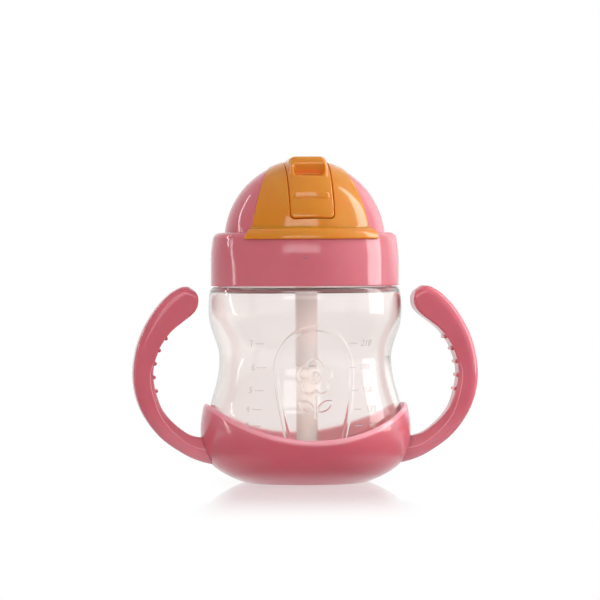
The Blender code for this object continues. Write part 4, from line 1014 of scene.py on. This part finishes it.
# %% Straw below the lid
STRAW_FRONT, STEM_R, TUBE_R, BORE, SOCKET_R, WAIST, PLUG_R = 5.0, 4.4, 4.25, 1.8, 3.4, 3.1, 3.1
STEM_FOOT, DECK_Z, DECK_TOP, TUBE_FOOT, SOCKET, PLUG = 47.0, 94.6, 96.4, 6.1, 7.8, 7.2
stem_line = np.vstack([
    [(BORE, STEM_FOOT + SOCKET), (SOCKET_R, STEM_FOOT + SOCKET), (SOCKET_R, STEM_FOOT)],
    arc((STEM_R - 0.4, STEM_FOOT + 0.4), 0.4, -90, 0, 4),
    [(STEM_R, DECK_Z - 0.6)], arc((STEM_R - 0.3, DECK_Z - 0.6), 0.3, 0, 90, 3), [(WAIST, DECK_Z - 0.3)],
    [(WAIST, DECK_TOP + 0.3)], arc((STEM_R - 0.3, DECK_TOP + 0.6), 0.3, -90, 0, 3),
    arc((STEM_R - 0.3, DECK_TOP + 1.6), 0.3, 0, 90, 3),
    [(BORE, DECK_TOP + 1.9), (BORE, STEM_FOOT + SOCKET)],
])
tube_line = np.vstack([
    [(BORE, STEM_FOOT + PLUG), (PLUG_R - 0.3, STEM_FOOT + PLUG), (PLUG_R, STEM_FOOT + PLUG - 0.3)],
    [(PLUG_R, STEM_FOOT - 0.3)], arc((TUBE_R - 0.3, STEM_FOOT - 0.6), 0.3, 90, 0, 3),
    arc((TUBE_R - 0.4, TUBE_FOOT + 0.4), 0.4, 0, -90, 4),
    [(BORE, TUBE_FOOT), (BORE, STEM_FOOT + PLUG)],
])
stem = piece("straw_sleeve", [quads(lathe(stem_line, 48, STRAW_FRONT))], silicone, "lid", ["straw_stem"])
even_shading(stem)
tube = piece("straw_tube_lower", [quads(lathe(tube_line, 48, STRAW_FRONT))], natural, "lid", ["straw_tube"])
even_shading(tube)

# %% Straw above the lid
SPOUT_R, ELBOW_R, ELBOW_Z, FOLD, BEND_R, SWEEP, MOUTH_ROUND = 3.1, 4.5, 111.4, 0.8, 14.53, 80.0, 0.65
root = STRAW_FRONT + ELBOW_R + FOLD + FIT
path = np.vstack([
    [(STRAW_FRONT, DECK_TOP + 1.0), (STRAW_FRONT, 101.5), (STRAW_FRONT, 106.5)],
    arc((STRAW_FRONT + ELBOW_R, ELBOW_Z), ELBOW_R, 180, 90, 14), [(root, ELBOW_Z + ELBOW_R)],
    arc((root + FOLD, ELBOW_Z + ELBOW_R - BEND_R), BEND_R, 90, 90 - SWEEP, 30)])
ahead = unit(np.gradient(path, axis=0))
turn = np.linspace(0, 2 * math.pi, 28, endpoint=False)


def ring(spot, way, radius, slide=0.0):
    """A circle about a point of the straw's middle line."""
    normal = np.array((-way[1], way[0]))
    flat = spot + slide * way + radius * np.cos(turn)[:, None] * normal
    return np.stack([radius * np.sin(turn), -flat[:, 0], flat[:, 1]], -1)


rings = [ring(p, w, SPOUT_R) for p, w in zip(path, ahead)]
for radius, side, angles in ((SPOUT_R, -1, (30, 60, 90)), (BORE, 1, (60, 30, 0))):
    for a in np.radians(angles):
        inset, slide = MOUTH_ROUND * (1 - math.cos(a)), MOUTH_ROUND * math.sin(a)
        rings.append(ring(path[-1], ahead[-1], radius + side * inset, slide))
rings += [ring(p, w, BORE) for p, w in zip(path[::-1], ahead[::-1])]
mouth = even_shading(piece("straw_mouthpiece", [quads(rings + rings[:1])], silicone, None, ["straw_spout"]))
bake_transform(mouth)

# %% Pieces inside the lid
for node, finish in (("lid_deck", natural), ("neck_gasket", silicone), ("vent_valve", silicone)):
    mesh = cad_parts[node].data
    mesh.materials.clear()
    mesh.materials.append(finish)
print("deck, gasket and valve keep their packed shapes")

# %% [markdown]
# ## Studio
# A white sweep on a glossy white table. A tall soft box on the right and a weaker fill behind it light the
# cup's right, two boxes in front draw the patches on hood, collar and ridge, and two thin strips on the far
# left draw fine lines down the dome and the collar. To the camera and through the clear bottle the
# surroundings are plain white; the light that falls on the cup and shows in its gloss is set separately.

# %% World
ROOM_LIGHT, CEILING_LIGHT, RIGHT_LIGHT, RIGHT_WALL, FLOOR_LIGHT = 0.32, 0.6, 0.35, 0.7, 0.6
BACKDROP_REACH, CEILING_REACH, WALL_REACH = (0.35, 1.0), (0.45, 0.9), (0.2, 0.95)
WHITE, MATT = linear("ffffff"), linear("7c7c7c")

world = bpy.data.worlds.new("studio")
world.use_nodes = True
bpy.context.scene.world = world
tree = world.node_tree
tree.nodes.clear()
way = add_node(tree, "ShaderNodeTexCoord").outputs["Generated"]
rays = add_node(tree, "ShaderNodeLightPath").outputs
levels = []
for direction, (low, high), (start, end) in ((forward, BACKDROP_REACH, (ROOM_LIGHT, 1.0)),
                                             ((0, 0, 1), CEILING_REACH, (ROOM_LIGHT, CEILING_LIGHT)),
                                             (right, WALL_REACH, (0.0, 1.0))):
    part = add_node(tree, "ShaderNodeVectorMath", {"operation": "DOT_PRODUCT", 0: way, 1: direction})
    levels.append(add_node(tree, "ShaderNodeMapRange", {
        "interpolation_type": "SMOOTHSTEP", "Value": part.outputs["Value"], "From Min": low, "From Max": high,
        "To Min": start, "To Max": end}).outputs["Result"])
behind, above, aside = levels
# The pale wall on the right lights the cup a little and shows more in its gloss.
wall = add_node(tree, "ShaderNodeMapRange", {
    "Value": rays["Is Glossy Ray"], "To Min": RIGHT_LIGHT,
    "To Max": RIGHT_LIGHT + RIGHT_WALL}).outputs["Result"]
wall = add_node(tree, "ShaderNodeMath", {"operation": "MULTIPLY", 0: aside, 1: wall}).outputs[0]
room = behind
for operation, other in (("MAXIMUM", above), ("ADD", wall), ("MAXIMUM", rays["Is Camera Ray"]),
                         ("MAXIMUM", rays["Is Transmission Ray"])):
    room = add_node(tree, "ShaderNodeMath", {"operation": operation, 0: room, 1: other}).outputs[0]
backdrop = add_node(tree, "ShaderNodeBackground", {"Color": WHITE, "Strength": room}).outputs[0]
add_node(tree, "ShaderNodeOutputWorld", {"Surface": backdrop})
print("backdrop is white; the room in front of the cup gives", ROOM_LIGHT)

# %% Floor
FLOOR, GRAZING, LIFT, TABLE_DARK, TABLE_WHITE = 6.0, (0.84, 0.93), 0.85, 0.34, 0.95
POLISH_NEAR, POLISH_FAR, POLISH_STEEP, POLISH_ROUGH = 0.5, 0.05, 0.15, 0.04
# Distances in metres over which the table changes: from the axis, then sideways and to the rear.
POLISHED, PLAIN, POOL = (0.05, 0.25), (0.1, 0.5), (0.03, 0.12)
UNDER_BOOT, CLOSE_BY = (0.028, 0.038), (0.048, 0.062)
MIRROR_SIDE, BESIDE, REAR = (0.026, 0.043), (0.012, 0.04), (0.0, 0.08)

corners = [(-FLOOR, -FLOOR, 0), (FLOOR, -FLOOR, 0), (FLOOR, FLOOR, 0), (-FLOOR, FLOOR, 0)]
floor_mesh = bpy.data.meshes.new("floor")
floor_mesh.from_pydata(corners, [], [(0, 1, 2, 3)])
floor = bpy.data.objects.new("floor", floor_mesh)
bpy.context.scene.collection.objects.link(floor)
acrylic = bpy.data.materials.new("acrylic_white_floor")
acrylic.use_nodes = True
tree = acrylic.node_tree
tree.nodes.clear()
place = add_node(tree, "ShaderNodeTexCoord").outputs["Object"]
away = add_node(tree, "ShaderNodeVectorMath", {"operation": "LENGTH", 0: place}).outputs["Value"]
parts = []
for direction in (right, forward):
    settings = {"operation": "DOT_PRODUCT", 0: place, 1: direction}
    parts.append(add_node(tree, "ShaderNodeVectorMath", settings).outputs["Value"])
sideways = add_node(tree, "ShaderNodeMath", {"operation": "ABSOLUTE", 0: parts[0]}).outputs[0]
facing = add_node(tree, "ShaderNodeLayerWeight", {"Blend": 0.5}).outputs["Facing"]
rays = add_node(tree, "ShaderNodeLightPath").outputs
# What the camera sees: white with a soft shadow and a faint mirror image close to the cup, plain white
# further off. Polish grows towards a grazing look, as on any glossy table, and there the mirror image is long
# and narrow. What the plastic mirrors: the table is white under the boot, close beside the cup and behind it,
# and dark towards the camera.
eased = {"camera": rays["Is Camera Ray"], "through": rays["Is Transmission Ray"]}
for name, value, (low, high), (start, end) in (
        ("grazing", facing, GRAZING, (0, 1)), ("steep", facing, GRAZING, (1, 0)),
        ("polish", away, POLISHED, (POLISH_NEAR, POLISH_FAR)), ("plain", away, PLAIN, (0, 1)),
        ("edge", sideways, MIRROR_SIDE, (0, 1)), ("pool", away, POOL, (0, 1)),
        ("foot", away, UNDER_BOOT, (1, 0)), ("close", away, CLOSE_BY, (1, 0)),
        ("beside", sideways, BESIDE, (0, 1)), ("rear", parts[1], REAR, (0, 1))):
    eased[name] = add_node(tree, "ShaderNodeMapRange", {
        "interpolation_type": "SMOOTHSTEP", "Value": value, "From Min": low, "From Max": high,
        "To Min": start, "To Max": end}).outputs["Result"]
eased["shine"] = add_node(tree, "ShaderNodeMapRange", {
    "Value": eased["grazing"], "To Min": POLISH_STEEP, "To Max": 1.0}).outputs["Result"]
for name, operation, other in (
        ("polish", "MULTIPLY", "shine"), ("edge", "MULTIPLY", "grazing"), ("pool", "MULTIPLY", "steep"),
        ("plain", "MAXIMUM", "edge"), ("plain", "MAXIMUM", "pool"), ("close", "MULTIPLY", "beside"),
        ("close", "MAXIMUM", "rear"), ("close", "MAXIMUM", "foot"), ("camera", "MAXIMUM", "through")):
    settings = {"operation": operation, 0: eased[name], 1: eased[other]}
    eased[name] = add_node(tree, "ShaderNodeMath", settings).outputs[0]
mirrored = add_node(tree, "ShaderNodeMapRange", {
    "Value": eased["close"], "To Min": TABLE_DARK, "To Max": TABLE_WHITE}).outputs["Result"]
lights = []
for strength in (LIFT, 1.0, FLOOR_LIGHT, mirrored):
    lights.append(add_node(tree, "ShaderNodeEmission", {"Color": WHITE, "Strength": strength}).outputs[0])
lift, white, bounce, table = lights
matt = add_node(tree, "ShaderNodeBsdfDiffuse", {"Color": MATT}).outputs[0]
body = add_node(tree, "ShaderNodeAddShader", {0: matt, 1: lift}).outputs[0]
gloss = add_node(tree, "ShaderNodeBsdfGlossy", {"Color": WHITE, "Roughness": POLISH_ROUGH}).outputs[0]
mirror = add_node(tree, "ShaderNodeMixShader", {0: eased["polish"], 1: body, 2: gloss}).outputs[0]
shown = add_node(tree, "ShaderNodeMixShader", {0: eased["plain"], 1: mirror, 2: white}).outputs[0]
unseen = add_node(tree, "ShaderNodeMixShader", {0: rays["Is Glossy Ray"], 1: bounce, 2: table}).outputs[0]
final = add_node(tree, "ShaderNodeMixShader", {0: eased["camera"], 1: unseen, 2: shown}).outputs[0]
add_node(tree, "ShaderNodeOutputMaterial", {"Surface": final})
floor_mesh.materials.append(acrylic)
print("floor is white; it throws", FLOOR_LIGHT, "back on the cup")

# %% Lights
LIGHT_CENTRE = Vector((0, 0, 0.09))


def toward(azimuth, elevation, distance):
    """A point seen from the cup at an azimuth counted from the camera to its right, and an elevation."""
    a, e = AZIMUTH + math.radians(azimuth), math.radians(elevation)
    way = Vector((math.sin(a) * math.cos(e), -math.cos(a) * math.cos(e), math.sin(e)))
    return way * distance + LIGHT_CENTRE


def soft_box(name, corners, distance, radiance, soft=0.04):
    """A glowing panel with corners of azimuth and elevation; soft is the share that fades towards its rim."""
    rim = np.array([toward(*corner, distance) for corner in corners])
    core = rim + soft * (rim.mean(0) - rim)
    count = len(corners)
    band = [(k, (k + 1) % count, count + (k + 1) % count, count + k) for k in range(count)]
    mesh = bpy.data.meshes.new(name)
    mesh.from_pydata(np.vstack([rim, core]).tolist(), [], [tuple(range(count, 2 * count)), *band])
    mesh.attributes.new("lit", "FLOAT", "POINT").data.foreach_set("value", [0.0] * count + [1.0] * count)
    fabric = bpy.data.materials.new(name + "_fabric")
    fabric.use_nodes = True
    tree = fabric.node_tree
    tree.nodes.clear()
    lit = add_node(tree, "ShaderNodeAttribute", {"attribute_name": "lit"}).outputs["Fac"]
    power = add_node(tree, "ShaderNodeMath", {"operation": "MULTIPLY", 0: lit, 1: radiance}).outputs[0]
    light = add_node(tree, "ShaderNodeEmission", {"Color": WHITE, "Strength": power}).outputs[0]
    add_node(tree, "ShaderNodeOutputMaterial", {"Surface": light})
    mesh.materials.append(fabric)
    panel = bpy.data.objects.new(name, mesh)
    bpy.context.scene.collection.objects.link(panel)
    panel.visible_camera = panel.visible_transmission = panel.visible_shadow = False
    print(f"{name}: radiance {radiance}")


soft_box("right_box", [(81, -5.5), (81, 12), (88, 32), (98, 46), (105, 58), (111, 52), (107, 30),
                       (105, -5.5)], 0.8, 7.0)
soft_box("right_fill", [(120, -5), (120, 40), (155, 40), (155, -5)], 1.0, 1.6, 0.3)
soft_box("front_box_high", [(-32, 17.5), (23, 17.5), (23, 34), (-32, 34)], 2.2, 4.0, 0.2)
soft_box("front_box_low", [(-30, 6.5), (23, 6.5), (23, 14.8), (-30, 14.8)], 2.2, 4.0, 0.3)
soft_box("left_strip", [(-106, 8), (-108.5, 8), (-119, 20), (-129, 36), (-127, 36), (-116.5, 20)], 0.8, 11.0)
soft_box("left_strip_low", [(-104, 12), (-101, 12), (-96, 2), (-86, -6), (-91, -6), (-100, 2)], 0.8, 5.5)
bpy.context.scene.view_settings.view_transform = "Standard"
